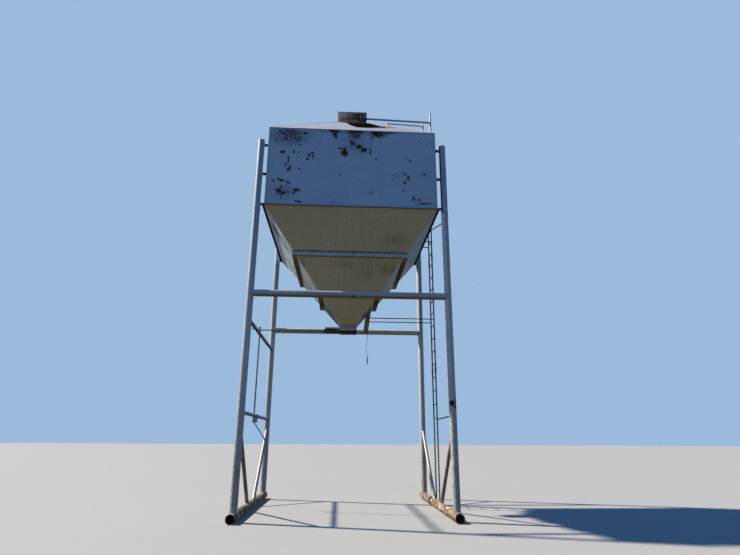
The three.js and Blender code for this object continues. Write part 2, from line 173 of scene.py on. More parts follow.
def patch_field(
    tree: Tree, place: bpy.types.NodeSocket, patches: tuple[Patch, ...]
) -> bpy.types.NodeSocket | float:
    """Give one value that is highest at the patches' middles and zero away from them.

    Args:
        tree: The material's nodes.
        place: The point in the frame, in metres.
        patches: The patches.

    Returns:
        The output that holds the value, or zero where there are none.
    """
    total: bpy.types.NodeSocket | float = 0.0
    for patch in patches:
        inverse = [1 / radius for radius in patch.radii]
        shift = [-middle * share for middle, share in zip(patch.centre, inverse)]
        local = tree.node("VectorMath", {0: place, 1: inverse, 2: shift}, operation="MULTIPLY_ADD")
        reach = tree.node("VectorMath", {0: local}, "Value", operation="LENGTH")
        limits = {"From Min": PATCH_EDGE, "From Max": PATCH_CORE, "To Max": patch.strength}
        height = tree.node("MapRange", {"Value": reach, **limits})
        total = tree.node("Math", {0: total, 1: height}, operation="MAXIMUM")
    return total


# How far past the point where the coat breaks a chip is fully bare, how far short of it the pale
# lip starts, and how rough the scale is
CHIP_EDGE, LIP_WIDTH, BARE_ROUGHNESS = 0.03, 0.035, 0.92


@dataclass(frozen=True)
class ChalkedEnamel:
    """Alkyd enamel sprayed on rolled steel, dulled by years of sun.

    To the eye it is a matt, slightly uneven coat with rain streaks down the fall of the surface,
    and where it has let go, dark brown scale shows through in ragged chips with pale lips.
    """

    name: str
    paint: str
    chalk: str
    grime: str
    patches: tuple[Patch, ...] = ()
    # Real stains and painted shade alike, laid on in the stain colour below
    stains_and_shade: tuple[Patch, ...] = ()
    fall: Point = (1.0, 1.0, 0.05)
    streak_mm: float = 140.0
    streak: float = 0.35
    chip_mm: float = 42.0
    sound: float = 0.74
    mottle: float = 0.12
    dents: float = 0.0
    # Painted shade: the colour of the side facing away from the given light direction, the span of
    # facing it fills, and a foot colour that gives way to it between two heights
    under: str = ""
    under_span: tuple[float, float] = (-0.55, -0.85)
    under_low: str = ""
    under_rise: tuple[float, float] = (2.8, 6.2)
    light_way: Point = (0.0, 0.0, 1.0)
    specular: float = 0.5
    stain_and_shade_colour: str = "3B3126"
    soft_stains_and_shade: bool = False
    metallic: float = 0.0
    roughness: float = 0.5
    scale_colours: tuple[str, str, str] = ("1E1D18", "3B3126", "7A5B3C")

    def build(self) -> bpy.types.Material:
        """Make the material.

        Returns:
            The finished material.
        """
        tree = Tree(self.name)
        place = tree.place()
        # Uneven chalking in fields of about a metre
        fields = tree.node(
            "TexNoise", {"Vector": place, "Scale": 1.1, "Detail": 3.0, "Roughness": 0.55}
        )
        tone = tree.node(
            "MapRange", {"Value": fields, "From Min": 0.32, "From Max": 0.7, "To Max": 0.8}
        )
        fallen = tree.node("VectorMath", {0: place, 1: self.fall}, operation="MULTIPLY")
        streaks = tree.node(
            "TexNoise",
            {"Vector": fallen, "Scale": 1000 / self.streak_mm, "Detail": 3.5, "Roughness": 0.6},
        )
        run = {"From Min": 0.47, "From Max": 0.72, "To Max": self.streak}
        washed = tree.node("MapRange", {"Value": streaks, **run})
        # Spray texture of about 5 mm, drawn at 9 mm so that it shows
        grain = tree.node("TexNoise", {"Vector": place, "Scale": 1000 / 9, "Detail": 2.0})
        # Worn and dusty blotches of a few centimetres
        blotches = tree.node(
            "TexNoise", {"Vector": place, "Scale": 1000 / 55, "Detail": 4.0, "Roughness": 0.7}
        )
        ragged = {"Detail": 4.0, "Roughness": 0.68, "Distortion": 0.5}
        chips = tree.node("TexNoise", {"Vector": place, "Scale": 1000 / self.chip_mm, **ragged})
        pull = patch_field(tree, place, self.patches)
        raised = tree.node("Math", {0: chips, 1: pull}, operation="ADD")
        bare, lip = (
            tree.node("MapRange", {"Value": raised, "From Min": start, "From Max": full})
            for start, full in (
                (self.sound, self.sound + CHIP_EDGE),
                (self.sound - LIP_WIDTH, self.sound),
            )
        )
        # Stains and painted shade gather in speckles, or run with the streaks where they are soft
        source, least = (streaks, 0.5) if self.soft_stains_and_shade else (chips, 0.25)
        gathered = tree.node(
            "MapRange", {"Value": source, "From Min": 0.4, "From Max": 0.6, "To Min": least}
        )
        marks = patch_field(tree, place, self.stains_and_shade)
        stain_and_shade_share = tree.node("Math", {0: marks, 1: gathered}, operation="MULTIPLY")
        limits = {"From Min": 0.3, "From Max": 0.7}
        swing = {"To Min": 1 - self.mottle, "To Max": 1 + self.mottle}
        shade = tree.node("MapRange", {"Value": blotches, **limits, **swing})
        lipped = tree.node("Math", {0: lip, 1: 0.35}, operation="MULTIPLY")
        flakes = tree.node(
            "TexNoise", {"Vector": place, "Scale": 1000 / 16, "Detail": 3.0, "Roughness": 0.7}
        )
        scale = tree.node(
            "ValToRGB", {"Fac": flakes}, stops=tuple(zip((0.38, 0.56, 0.72), self.scale_colours))
        )
        coat = linear(self.paint)
        for share, colour in ((tone, linear(self.chalk)), (washed, linear(self.grime))):
            layer = {MIX_FACTOR: share, MIX_FIRST: coat, MIX_SECOND: colour}
            coat = tree.node("Mix", layer, MIX_RESULT, data_type="RGBA")
        coat = tree.node("VectorMath", {0: coat, 1: shade}, operation="MULTIPLY")
        layers = [(stain_and_shade_share, linear(self.stain_and_shade_colour)), (lipped, linear(self.chalk)), (bare, scale)]
        # Painted light and shade: the side that faces away from the light takes its own colour
        if self.under:
            layers.insert(0, self._painted_shade(tree, place))
        for share, colour in layers:
            layer = {MIX_FACTOR: share, MIX_FIRST: coat, MIX_SECOND: colour}
            coat = tree.node("Mix", layer, MIX_RESULT, data_type="RGBA")
        roughness = tree.node(
            "MapRange", {"Value": bare, "To Min": self.roughness, "To Max": BARE_ROUGHNESS}
        )
        flake = tree.node("MapRange", {"Value": bare, "To Min": self.metallic, "To Max": 0})
        pits = tree.node("Math", {0: bare, 1: flakes}, operation="MULTIPLY")
        relief = tree.node("Math", {0: grain, 1: 0.12}, operation="MULTIPLY")
        height = tree.node("Math", {0: relief, 1: pits}, operation="SUBTRACT")
        bump = tree.node("Bump", {"Height": height, "Strength": 0.5, "Distance": 0.002})
        if self.dents:
            # Plate pulled in and out by its stitch welds, in waves of about half a metre
            waves = tree.node("TexNoise", {"Vector": place, "Scale": 2.0, "Detail": 1.0})
            bump = tree.node(
                "Bump", {"Height": waves, "Strength": 1.0, "Distance": self.dents, "Normal": bump}
            )
        surface = tree.node(
            "BsdfPrincipled",
            {
                "Base Color": coat,
                "Metallic": flake,
                "Roughness": roughness,
                "Specular IOR Level": self.specular,
                "Normal": bump,
            },
        )
        tree.node("OutputMaterial", {"Surface": surface})
        return tree.owner

    def _painted_shade(
        self, tree: Tree, place: bpy.types.NodeSocket
    ) -> tuple[bpy.types.NodeSocket, object]:
        """Find where the coat faces away from the light, for the painted shade, and its colour
        there.

        Args:
            tree: The material's nodes.
            place: The point in the frame, in metres.

        Returns:
            How far a point is in painted shade, and the colour, which may fade with height.
        """
        facing = tree.node("NewGeometry", out="Normal")
        rise = tree.node("VectorMath", {0: facing, 1: self.light_way}, "Value", operation="DOT_PRODUCT")
        start, full = self.under_span
        shade_share = tree.node("MapRange", {"Value": rise, "From Min": start, "From Max": full})
        if not self.under_low:
            return shade_share, linear(self.under)
        low, high = self.under_rise
        height = tree.node("SeparateXYZ", {0: place}, "Z")
        climb = tree.node("MapRange", {"Value": height, "From Min": low, "From Max": high})
        foot, head = linear(self.under_low), linear(self.under)
        layer = {MIX_FACTOR: climb, MIX_FIRST: foot, MIX_SECOND: head}
        return shade_share, tree.node("Mix", layer, MIX_RESULT, data_type="RGBA")


@dataclass(frozen=True)
class RustedSteel:
    """Bare mild steel that has stood in the weather.

    To the eye it is a mottle of tan bloom, orange brown and dark scale with no gloss at all.
    """

    name: str
    colours: tuple[tuple[float, str], ...]
    mottle_mm: float = 90.0
    along: Point = (1.0, 1.0, 1.0)
    metallic: float = 0.15
    roughness: float = 0.86
    specular: float = 0.5

    def build(self) -> bpy.types.Material:
        """Make the material.

        Returns:
            The finished material.
        """
        tree = Tree(self.name)
        place = tree.place()
        stretched = tree.node("VectorMath", {0: place, 1: self.along}, operation="MULTIPLY")
        cloudy = {"Detail": 6.0, "Roughness": 0.66, "Distortion": 0.4}
        mottle = tree.node(
            "TexNoise", {"Vector": stretched, "Scale": 1000 / self.mottle_mm, **cloudy}
        )
        # Grains of scale of about 4 mm, drawn at 8 mm so that they show
        scale = tree.node("TexNoise", {"Vector": place, "Scale": 1000 / 8, "Detail": 3.0})
        colour = tree.node("ValToRGB", {"Fac": mottle}, stops=self.colours)
        shade = tree.node("MapRange", {"Value": scale, "To Min": 0.75, "To Max": 1.2})
        toned = tree.node("VectorMath", {0: colour, 1: shade}, operation="MULTIPLY")
        bump = tree.node("Bump", {"Height": scale, "Strength": 0.7, "Distance": 0.003})
        surface = tree.node(
            "BsdfPrincipled",
            {
                "Base Color": toned,
                "Metallic": self.metallic,
                "Roughness": self.roughness,
                "Specular IOR Level": self.specular,
                "Normal": bump,
            },
        )
        tree.node("OutputMaterial", {"Surface": surface})
        return tree.owner


@dataclass(frozen=True)
class WeatheredLid:
    """Sheet steel of the hatch, long past its paint.

    To the eye its left end is a pale olive yellow, its middle rusty brown and its right end nearly
    black, with ragged borders between and paler bloom along the arrises.
    """

    name: str
    half: float

    def build(self) -> bpy.types.Material:
        """Make the material.

        Returns:
            The finished material.
        """
        tree = Tree(self.name)
        place = tree.place()
        # The zones run across the front, and turn rustier towards the back
        slant = {0: place, 1: (1, 0.5, 0)}
        across = tree.node("VectorMath", slant, "Value", operation="DOT_PRODUCT")
        blotch = tree.node(
            "TexNoise", {"Vector": place, "Scale": 1000 / 130, "Detail": 5.0, "Roughness": 0.7}
        )
        ragged = {"From Min": 0.3, "From Max": 0.7, "To Min": -0.2, "To Max": 0.2}
        shifted = tree.node("MapRange", {"Value": blotch, **ragged})
        along = tree.node("Math", {0: across, 1: shifted}, operation="ADD")
        left, right = -1.5 * self.half, 0.5 * self.half
        share = tree.node("MapRange", {"Value": along, "From Min": left, "From Max": right})
        zones = tree.node(
            "ValToRGB",
            {"Fac": share},
            stops=(
                (0.0, "E6E0D0"),
                (0.24, "D0C5A6"),
                (0.38, "BC9A7C"),
                (0.6, "9C7659"),
                (0.72, "4A4235"),
                (0.86, "3E382D"),
                (1.0, "8C826A"),
            ),
        )
        rows = tree.node("VectorMath", {0: place, 1: (1, 1, 6)}, operation="MULTIPLY")
        bloom = tree.node(
            "TexNoise", {"Vector": rows, "Scale": 1000 / 60, "Detail": 4.0, "Roughness": 0.7}
        )
        pale = tree.node(
            "MapRange", {"Value": bloom, "From Min": 0.6, "From Max": 0.75, "To Max": 0.45}
        )
        layer = {MIX_FACTOR: pale, MIX_FIRST: zones, MIX_SECOND: linear("D8CBB2")}
        colour = tree.node("Mix", layer, MIX_RESULT, data_type="RGBA")
        bump = tree.node("Bump", {"Height": bloom, "Strength": 0.6, "Distance": 0.004})
        surface = tree.node(
            "BsdfPrincipled", {"Base Color": colour, "Roughness": 0.9, "Normal": bump}
        )
        tree.node("OutputMaterial", {"Surface": surface})
        return tree.owner


@dataclass(frozen=True)
class WorkedMetal:
    """Drawn wire, steel scraped bright or an ash grip, worn smooth by handling.

    To the eye it has a dull sheen that comes and goes with a faint cloud of oxide or grime.
    """

    name: str
    clean: str
    dull: str
    metallic: float
    roughness: float
    cloud_mm: float = 25.0

    def build(self) -> bpy.types.Material:
        """Make the material.

        Returns:
            The finished material.
        """
        tree = Tree(self.name)
        place = tree.place()
        cloud = tree.node(
            "TexNoise",
            {"Vector": place, "Scale": 1000 / self.cloud_mm, "Detail": 4.0, "Roughness": 0.65},
        )
        tones = ((0.35, self.dull), (0.65, self.clean))
        colour = tree.node("ValToRGB", {"Fac": cloud}, stops=tones)
        span = {"To Min": self.roughness + 0.15, "To Max": self.roughness - 0.1}
        rough = tree.node("MapRange", {"Value": cloud, **span})
        bump = tree.node("Bump", {"Height": cloud, "Strength": 0.3, "Distance": 0.001})
        surface = tree.node(
            "BsdfPrincipled",
            {"Base Color": colour, "Metallic": self.metallic, "Roughness": rough, "Normal": bump},
        )
        tree.node("OutputMaterial", {"Surface": surface})
        return tree.owner


# The front face of the bin's walls, and how far in depth a spot on it reaches
WALL_Y, SPOT_DEPTH = -1.829, 0.5

# Chipped spots on the front wall: x, z, half width, half height and strength
CHIPPED_SPOTS = (
    (-1.42, 7.82, 0.40, 0.15, 0.24), (-1.36, 7.68, 0.34, 0.14, 0.22),
    (-1.17, 7.66, 0.12, 0.22, 0.22), (-1.68, 7.68, 0.09, 0.20, 0.2),
    (-1.30, 7.55, 0.40, 0.12, 0.15), (-1.05, 7.81, 0.06, 0.05, 0.34),
    (-1.52, 7.33, 0.07, 0.035, 0.36), (-1.47, 7.36, 0.04, 0.03, 0.32),
    (-1.27, 7.36, 0.03, 0.05, 0.34), (-1.17, 7.34, 0.03, 0.03, 0.3),
    (-0.88, 7.32, 0.07, 0.04, 0.3), (-0.95, 7.27, 0.035, 0.07, 0.28),
    (-0.97, 7.18, 0.045, 0.04, 0.3), (-0.85, 7.25, 0.03, 0.06, 0.28),
    (-1.38, 7.19, 0.025, 0.05, 0.36), (-1.38, 7.11, 0.025, 0.03, 0.36),
    (-1.43, 7.03, 0.03, 0.07, 0.3), (-1.34, 6.98, 0.03, 0.07, 0.32),
    (-1.37, 6.91, 0.05, 0.04, 0.36), (-1.14, 6.94, 0.045, 0.025, 0.3),
    (-1.67, 6.64, 0.03, 0.04, 0.32), (-1.57, 6.68, 0.03, 0.05, 0.3),
    (-1.50, 6.65, 0.06, 0.04, 0.34), (-1.40, 6.64, 0.04, 0.03, 0.3),
    (-1.35, 6.60, 0.05, 0.03, 0.34), (-1.50, 6.49, 0.03, 0.04, 0.34),
    (-1.56, 6.41, 0.08, 0.06, 0.32), (-1.47, 6.36, 0.10, 0.06, 0.34),
    (-1.35, 6.38, 0.04, 0.03, 0.3), (-1.23, 6.40, 0.05, 0.09, 0.3),
    (-1.17, 6.44, 0.07, 0.05, 0.3), (-1.11, 6.42, 0.05, 0.03, 0.28),
    (-1.49, 6.24, 0.03, 0.03, 0.28), (-1.17, 6.18, 0.04, 0.03, 0.32),
    (-1.10, 6.16, 0.06, 0.03, 0.36), (-0.42, 7.90, 0.15, 0.05, 0.38),
    (-0.39, 7.82, 0.06, 0.12, 0.36), (0.05, 7.89, 0.24, 0.06, 0.34),
    (0.05, 7.80, 0.18, 0.13, 0.27), (-0.02, 7.62, 0.06, 0.16, 0.28),
    (0.57, 7.89, 0.24, 0.06, 0.36), (0.56, 7.84, 0.20, 0.08, 0.33),
    (0.42, 7.76, 0.04, 0.08, 0.28), (0.85, 7.91, 0.20, 0.03, 0.28),
    (-0.17, 7.36, 0.08, 0.09, 0.42), (-0.18, 7.45, 0.04, 0.06, 0.36),
    (-0.27, 7.47, 0.06, 0.03, 0.32), (0.14, 7.53, 0.09, 0.07, 0.36),
    (0.25, 7.45, 0.08, 0.07, 0.4), (0.04, 7.60, 0.06, 0.05, 0.28), (0.39, 7.42, 0.04, 0.10, 0.3),
    (0.52, 7.23, 0.06, 0.025, 0.28), (-0.26, 6.83, 0.03, 0.04, 0.26),
    (1.16, 7.27, 0.025, 0.03, 0.32), (1.26, 7.22, 0.03, 0.03, 0.34),
    (1.56, 6.90, 0.07, 0.025, 0.34), (1.14, 6.90, 0.03, 0.06, 0.28),
    (1.22, 6.80, 0.05, 0.09, 0.28), (1.14, 6.68, 0.05, 0.05, 0.3),
    (0.95, 6.82, 0.16, 0.12, 0.15), (1.10, 6.49, 0.035, 0.025, 0.3),
    (0.42, 6.44, 0.07, 0.10, 0.21), (1.32, 6.30, 0.06, 0.08, 0.27),
    (1.55, 6.20, 0.24, 0.04, 0.26), (1.44, 6.27, 0.06, 0.05, 0.25),
    (-0.38, 6.17, 0.16, 0.05, 0.17), (1.46, 7.66, 0.16, 0.06, 0.15),
)
# Each is drawn wider and stronger than its row, to make up for its soft edge
SPOT_SPREAD, SPOT_GAIN = 1.3, 0.04
FRONT_WALL_SPOTS = tuple(
    Patch(
        (x, WALL_Y, z),
        (SPOT_SPREAD * wide, SPOT_DEPTH, SPOT_SPREAD * high),
        strength + SPOT_GAIN,
    )
    for x, z, wide, high, strength in CHIPPED_SPOTS
)


def both_sides(x: float, z: float, radii: Point, strength: float) -> tuple[Patch, Patch]:
    """Place the same patch on the left and the right member of a hopper ring."""
    return tuple(Patch((side * x, 0, z), radii, strength) for side in (-1, 1))


# Painted shade: near-black scale on the short stubs between the legs and the bin, for their shaded
# sides
STUB_PAINTED_SHADE = tuple(
    Patch((x, y, z), (0.040, 0.09, 0.06), 0.5)
    for x in (-1.868, 1.868)
    for y in (-1.80, 1.80)
    for z in (6.095, 6.80, 7.50)
)

# A radius that takes in the whole bin, and one over which nothing falls off
WHOLE, ENDLESS = 9, 90

# Mud splashed up the feet of the legs
FOOT_GRIME = Patch((0, 0, 0.25), (WHOLE, WHOLE, 0.35), 0.1)

# Dark, brown and ochre of scale that has been bare for years
OLD_SCALE = ("17170F", "37301F", "856A42")


class Finish(Enum):
    """The finishes of the bin, each a ready-made description of one real surface."""

    # Blue grey, partly the paint's own colour and partly painted skylit shade; the wall finishes
    # also darken a thin line along the eave
    WALL_FRONT = ChalkedEnamel(
        "wall_front_alkyd_enamel",
        "A5BFD3",
        "B1CADC",
        "92ABC1",
        patches=FRONT_WALL_SPOTS,
        stains_and_shade=(
            Patch((-1.38, WALL_Y, 7.76), (0.50, SPOT_DEPTH, 0.26), 0.75),
            Patch((0.1, WALL_Y, 7.90), (0.9, SPOT_DEPTH, 0.09), 0.8),
            Patch((0.0, WALL_Y, 7.94), (6.0, SPOT_DEPTH, 0.03), 0.9),
            Patch((0.05, WALL_Y, 7.62), (0.4, SPOT_DEPTH, 0.3), 0.35),
            Patch((-1.45, WALL_Y, 6.40), (0.3, SPOT_DEPTH, 0.2), 0.4),
        ),
        fall=(1.0, 1.0, 0.04),
        streak_mm=260.0,
        streak=0.3,
        chip_mm=27.0,
        mottle=0.05,
        sound=0.745,
        scale_colours=OLD_SCALE,
    )
    WALL = replace(
        WALL_FRONT,
        name="wall_alkyd_enamel",
        patches=(
            Patch((-1.829, 0.6, 7.85), (0.5, 0.9, 0.08), 0.2),
            Patch((-1.829, -1.1, 6.3), (0.5, 0.4, 0.15), 0.16),
            Patch((1.829, 1.0, 7.8), (0.5, 0.5, 0.2), 0.16),
            Patch((1.829, -0.9, 6.4), (0.5, 0.3, 0.2), 0.15),
            Patch((0.7, 1.829, 7.8), (0.8, 0.5, 0.16), 0.17),
            Patch((-0.9, 1.829, 6.5), (0.4, 0.5, 0.25), 0.15),
        ),
        stains_and_shade=(Patch((0.0, 0.0, 7.94), (6.0, 6.0, 0.03), 0.9),),
        chip_mm=34.0,
        sound=0.735,
    )
    # Dust from the load keeps to the sheltered plates and takes the blue out of them; the khaki is
    # partly dust, partly painted ground bounce light
    HOPPER_FRONT = ChalkedEnamel(
        "hopper_front_dust_and_painted_bounce_enamel",
        "BAB59C",
        "C1BCA5",
        "A69F84",
        patches=(
            Patch((0.55, -1.66, 5.84), (0.03, 0.05, 0.03), 0.26),
            Patch((0.38, -1.44, 5.55), (0.03, 0.05, 0.03), 0.26),
            Patch((0.01, -1.02, 5.00), (0.05, 0.10, 0.06), 0.2),
            Patch((1.12, -1.01, 4.98), (0.07, 0.06, 0.05), 0.22),
            Patch((0.69, -1.40, 5.50), (0.05, 0.05, 0.03), 0.2),
        ),
        stains_and_shade=(
            Patch((-1.05, -1.05, 5.03), (0.10, 0.14, 0.17), 0.5),
            Patch((0.90, -1.0, 4.98), (0.45, 0.2, 0.14), 0.35),
            Patch((0.10, -1.05, 5.05), (0.85, 0.14, 0.1), 0.3),
            Patch((0.35, -0.95, 4.9), (0.30, 0.2, 0.14), 0.35),
            Patch((0.95, -1.42, 5.52), (0.35, 0.2, 0.14), 0.3),
        ),
        soft_stains_and_shade=True,
        fall=(1.0, 0.04, 0.04),
        streak_mm=70.0,
        streak=0.38,
        mottle=0.07,
        dents=0.02,
        roughness=0.62,
    )
    HOPPER_BACK = replace(
        HOPPER_FRONT,
        name="hopper_back_dust_and_painted_bounce_enamel",
        patches=(Patch((-0.5, 1.4, 5.5), (0.3, 0.3, 0.2), 0.16),),
        stains_and_shade=(),
        streak_mm=90.0,
        streak=0.28,
    )
    # Rain runs off the walls' corners and streaks the side plates
    HOPPER_SIDE = ChalkedEnamel(
        "hopper_side_enamel",
        "C6CBC6",
        "D0D5D0",
        "A4AAA6",
        patches=(
            Patch((-1.3, -0.7, 5.4), (0.4, 0.3, 0.3), 0.13),
            Patch((1.1, 0.4, 5.1), (0.4, 0.3, 0.3), 0.13),
        ),
        fall=(0.04, 1.0, 0.04),
        streak_mm=150.0,
        streak=0.75,
        mottle=0.16,
        dents=0.05,
        roughness=0.4,
    )
    # Paler than the other side plates, a painted sunlit copy of their enamel, with painted shadow
    # of the skirt along the top and a darker lower part
    HOPPER_LEFT = replace(
        HOPPER_SIDE,
        name="hopper_left_enamel",
        paint="D6DED2",
        chalk="E2E8DC",
        grime="9AA3A6",
        stains_and_shade=(
            Patch((-1.66, -0.85, 5.86), (0.30, 0.42, 0.20), 1.3),
            Patch((-1.48, -0.66, 5.60), (0.16, 0.24, 0.14), 0.8),
            Patch((-1.10, -0.70, 5.10), (0.20, 0.22, 0.24), 0.4),
            Patch((-0.45, 0.08, 4.22), (0.36, 0.44, 0.44), 1.9),
        ),
        soft_stains_and_shade=True,
        stain_and_shade_colour="4E5354",
    )
    # Darker than the left plate, a painted shaded copy of the side enamel, with painted shade by
    # the strut: near-black scale and a darker olive area below
    HOPPER_RIGHT = replace(
        HOPPER_SIDE,
        name="hopper_right_enamel",
        paint="B0BBB0",
        chalk="BCC6BC",
        patches=(
            Patch((0.345, -0.25, 4.105), (0.08, 0.20, 0.085), 0.6),
            Patch((1.16, -0.80, 5.18), (0.08, 0.16, 0.08), 0.22),
        ),
        stains_and_shade=(Patch((0.50, -0.40, 4.28), (0.50, 0.70, 0.46), 1.6),),
        soft_stains_and_shade=True,
        stain_and_shade_colour="787050",
        scale_colours=("0E0D0A", "17150F", "2C281C"),
    )
    ROOF = ChalkedEnamel(
        "roof_alkyd_enamel",
        "B5B2B2",
        "BEBAB9",
        "A19997",
        patches=(
            Patch((0.92, -1.06, 8.56), (0.14, 0.24, 0.18), 0.32),
            Patch((0.46, -1.60, 8.13), (0.10, 0.12, 0.10), 0.24),
            Patch((1.25, -1.40, 8.29), (0.14, 0.12, 0.10), 0.22),
            Patch((-0.6, 0.9, 8.7), (0.4, 0.3, 0.3), 0.14),
        ),
        stains_and_shade=(
            Patch((0.90, -1.02, 8.60), (0.26, 0.3, 0.22), 1.5),
            Patch((-0.01, -1.44, 8.22), (0.08, 0.12, 0.12), 0.4),
        ),
        streak_mm=110.0,
        streak=0.4,
        roughness=0.55,
        stain_and_shade_colour="A8794F",
        scale_colours=("5A3B28", "8A5C3E", "C08A64"),
    )
    # Painted light and shade: a pale bleached colour on the side towards the sun and painted blue
    # grey shade on the side away from it, greyer low down as painted ground bounce; the brown stain
    # up the lower 2.6 m is partly dust, partly painted ground bounce
    PIPE = ChalkedEnamel(
        "leg_aluminium_paint",
        "DEDCD2",
        "E8E5DA",
        "ACA99E",
        patches=(FOOT_GRIME, *STUB_PAINTED_SHADE),
        stains_and_shade=(Patch((0, 0, 0), (ENDLESS, ENDLESS, 2.6), 0.8),),
        stain_and_shade_colour="857A5E",
        streak_mm=60.0,
        streak=0.6,
        mottle=0.16,
        sound=0.75,
        under="8FA4B0",
        under_low="BCC5C6",
        light_way=(-0.95, 0.3, 0.0),
        under_span=(0.2, -0.3),
        metallic=0.12,
        roughness=0.42,
        scale_colours=("14150F", "24241F", "4A463C"),
    )
    MARKED_LEG = replace(
        PIPE,
        name="marked_leg_aluminium_paint",
        patches=(
            FOOT_GRIME,
            Patch((1.950, -1.92, 2.055), (0.056, 0.09, 0.060), 0.6),
            Patch((2.028, -1.92, 2.065), (0.022, 0.09, 0.085), 0.6),
            Patch((2.008, -1.92, 1.985), (0.052, 0.09, 0.018), 0.6),
        ),
        scale_colours=("0F0F0E", "1C1B19", "3A352E"),
    )
    # Painted shade: dark on the side towards the bin, which stays in the bin's shade
    SHADED_HEAD = replace(
        PIPE,
        name="right_leg_aluminium_paint",
        paint="95A8B4",
        chalk="A0B2BC",
        grime="788690",
        under="2A343B",
        under_low="",
        light_way=(1.0, 0.0, 0.0),
        under_span=(-0.55, -0.8),
    )
    BACK_BRACE = replace(
        PIPE,
        name="back_brace_aluminium_paint",
        paint="A3A39C",
        chalk="AEADA5",
        grime="87857D",
        under="",
    )
    # Greyer, with painted ground bounce light, olive brown, along the underside
    PIPE_ACROSS = ChalkedEnamel(
        "cross_pipe_aluminium_paint",
        "B3B8BE",
        "C6CACE",
        "8C8A84",
        patches=(Patch((0.063, -1.9, 4.095), (0.022, 0.12, 0.06), 0.5),),
        fall=(0.05, 1.0, 1.0),
        streak_mm=70.0,
        streak=0.6,
        under="7A7258",
        under_span=(-0.15, -0.6),
        roughness=0.5,
        scale_colours=("14130F", "1E1C16", "38322A"),
    )
    # Paler than the front cross pipe, on top and underneath, as painted light to offset the bin's
    # shadow on it
    PIPE_BACK = replace(
        PIPE_ACROSS,
        name="back_cross_pipe_aluminium_paint",
        patches=(),
        under="A79D7E",
        under_span=(0.05, -0.5),
        paint="CACED0",
        chalk="D4D8DA",
    )
    # Painted shade: dark along the underside
    PIPE_ALONG = ChalkedEnamel(
        "side_pipe_aluminium_paint",
        "AEB3B8",
        "BFC3C7",
        "87857E",
        fall=(1.0, 0.05, 1.0),
        streak_mm=70.0,
        streak=0.6,
        under="45433A",
        under_span=(-0.1, -0.6),
        roughness=0.5,
    )
    # Painted shade: dark lines along each ring's top edge and the outer edge of its side members,
    # with the side members' undersides darkened; a dark line also runs along their inner edge. The
    # olive brown underside colour is painted ground bounce light.
    RING = ChalkedEnamel(
        "hopper_ring_enamel",
        "B4BBC3",
        "C2C8CE",
        "857E70",
        fall=(1.0, 1.0, 0.3),
        streak_mm=120.0,
        streak=0.5,
        chip_mm=30.0,
        sound=0.7,
        under="8B8161",
        specular=0.15,
        patches=(
            *both_sides(1.252, 5.178, (0.028, 1.24, 0.02), 0.6),
            *both_sides(1.162, 5.178, (0.028, 1.14, 0.02), 0.6),
            *both_sides(0.685, 4.428, (0.028, 0.67, 0.02), 0.6),
            *both_sides(0.594, 4.428, (0.028, 0.58, 0.02), 0.6),
        ),
        stains_and_shade=(
            Patch((0, 0, 5.278), (ENDLESS, ENDLESS, 0.028), 1.25),
            Patch((0, 0, 4.529), (ENDLESS, ENDLESS, 0.024), 1.1),
            *both_sides(1.21, 5.176, (0.09, 1.15, 0.016), 1.4),
            *both_sides(0.64, 4.426, (0.09, 0.58, 0.016), 1.4),
        ),
        stain_and_shade_colour="2F2A20",
        roughness=0.5,
        scale_colours=("15120E", "2E241A", "8A5F40"),
    )
    # Painted shade: black on the underside, but for a line of painted ground bounce light along the
    # front edge
    SKIRT = ChalkedEnamel(
        "skirt_angle_enamel",
        "A3B6CE",
        "AFC1D7",
        "6E7480",
        fall=(1.0, 1.0, 0.3),
        streak_mm=160.0,
        streak=0.5,
        chip_mm=30.0,
        sound=0.7,
        under="100E0B",
        specular=0.0,
        stains_and_shade=(Patch((0, -1.86, 6.06), (WHOLE, 0.06, 0.012), 4.0),),
        stain_and_shade_colour="7D6F59",
        scale_colours=OLD_SCALE,
    )
    # Mottled from scale through orange brown to pale dried mud
    SKID = RustedSteel(
        "skid_rusted_pipe",
        ((0.32, "2E241D"), (0.43, "5C4330"), (0.5, "8C6D54"), (0.59, "B79F84"), (0.73, "E0D5C2")),
        mottle_mm=110.0,
        along=(1.0, 0.75, 1.0),
    )
    BRACE = RustedSteel(
        "brace_rusted_pipe",
        ((0.3, "5A4C42"), (0.48, "8C8178"), (0.62, "A9A29B"), (0.75, "BDB7B0")),
        mottle_mm=110.0,
        along=(1.0, 1.0, 0.4),
    )
    LADDER = RustedSteel(
        "ladder_weathered_steel",
        ((0.3, "4A4640"), (0.5, "77797B"), (0.7, "9A9FA5")),
        mottle_mm=70.0,
        along=(1.0, 1.0, 0.4),
        metallic=0.3,
        roughness=0.7,
    )
    STRUT = RustedSteel(
        "strut_rusted_channel",
        ((0.3, "665C3C"), (0.5, "9A9468"), (0.7, "B5AE86")),
        mottle_mm=80.0,
        metallic=0.05,
    )
    GATE = RustedSteel(
        "gate_greased_steel",
        ((0.3, "0E0E0E"), (0.5, "1A1917"), (0.7, "3A332B")),
        mottle_mm=60.0,
        metallic=0.4,
        roughness=0.55,
    )
    LEVER = RustedSteel(
        "lever_weathered_steel",
        ((0.3, "4A5058"), (0.5, "707B87"), (0.7, "949FAB")),
        mottle_mm=60.0,
        along=(1.0, 1.0, 0.3),
        metallic=0.3,
        roughness=0.65,
    )
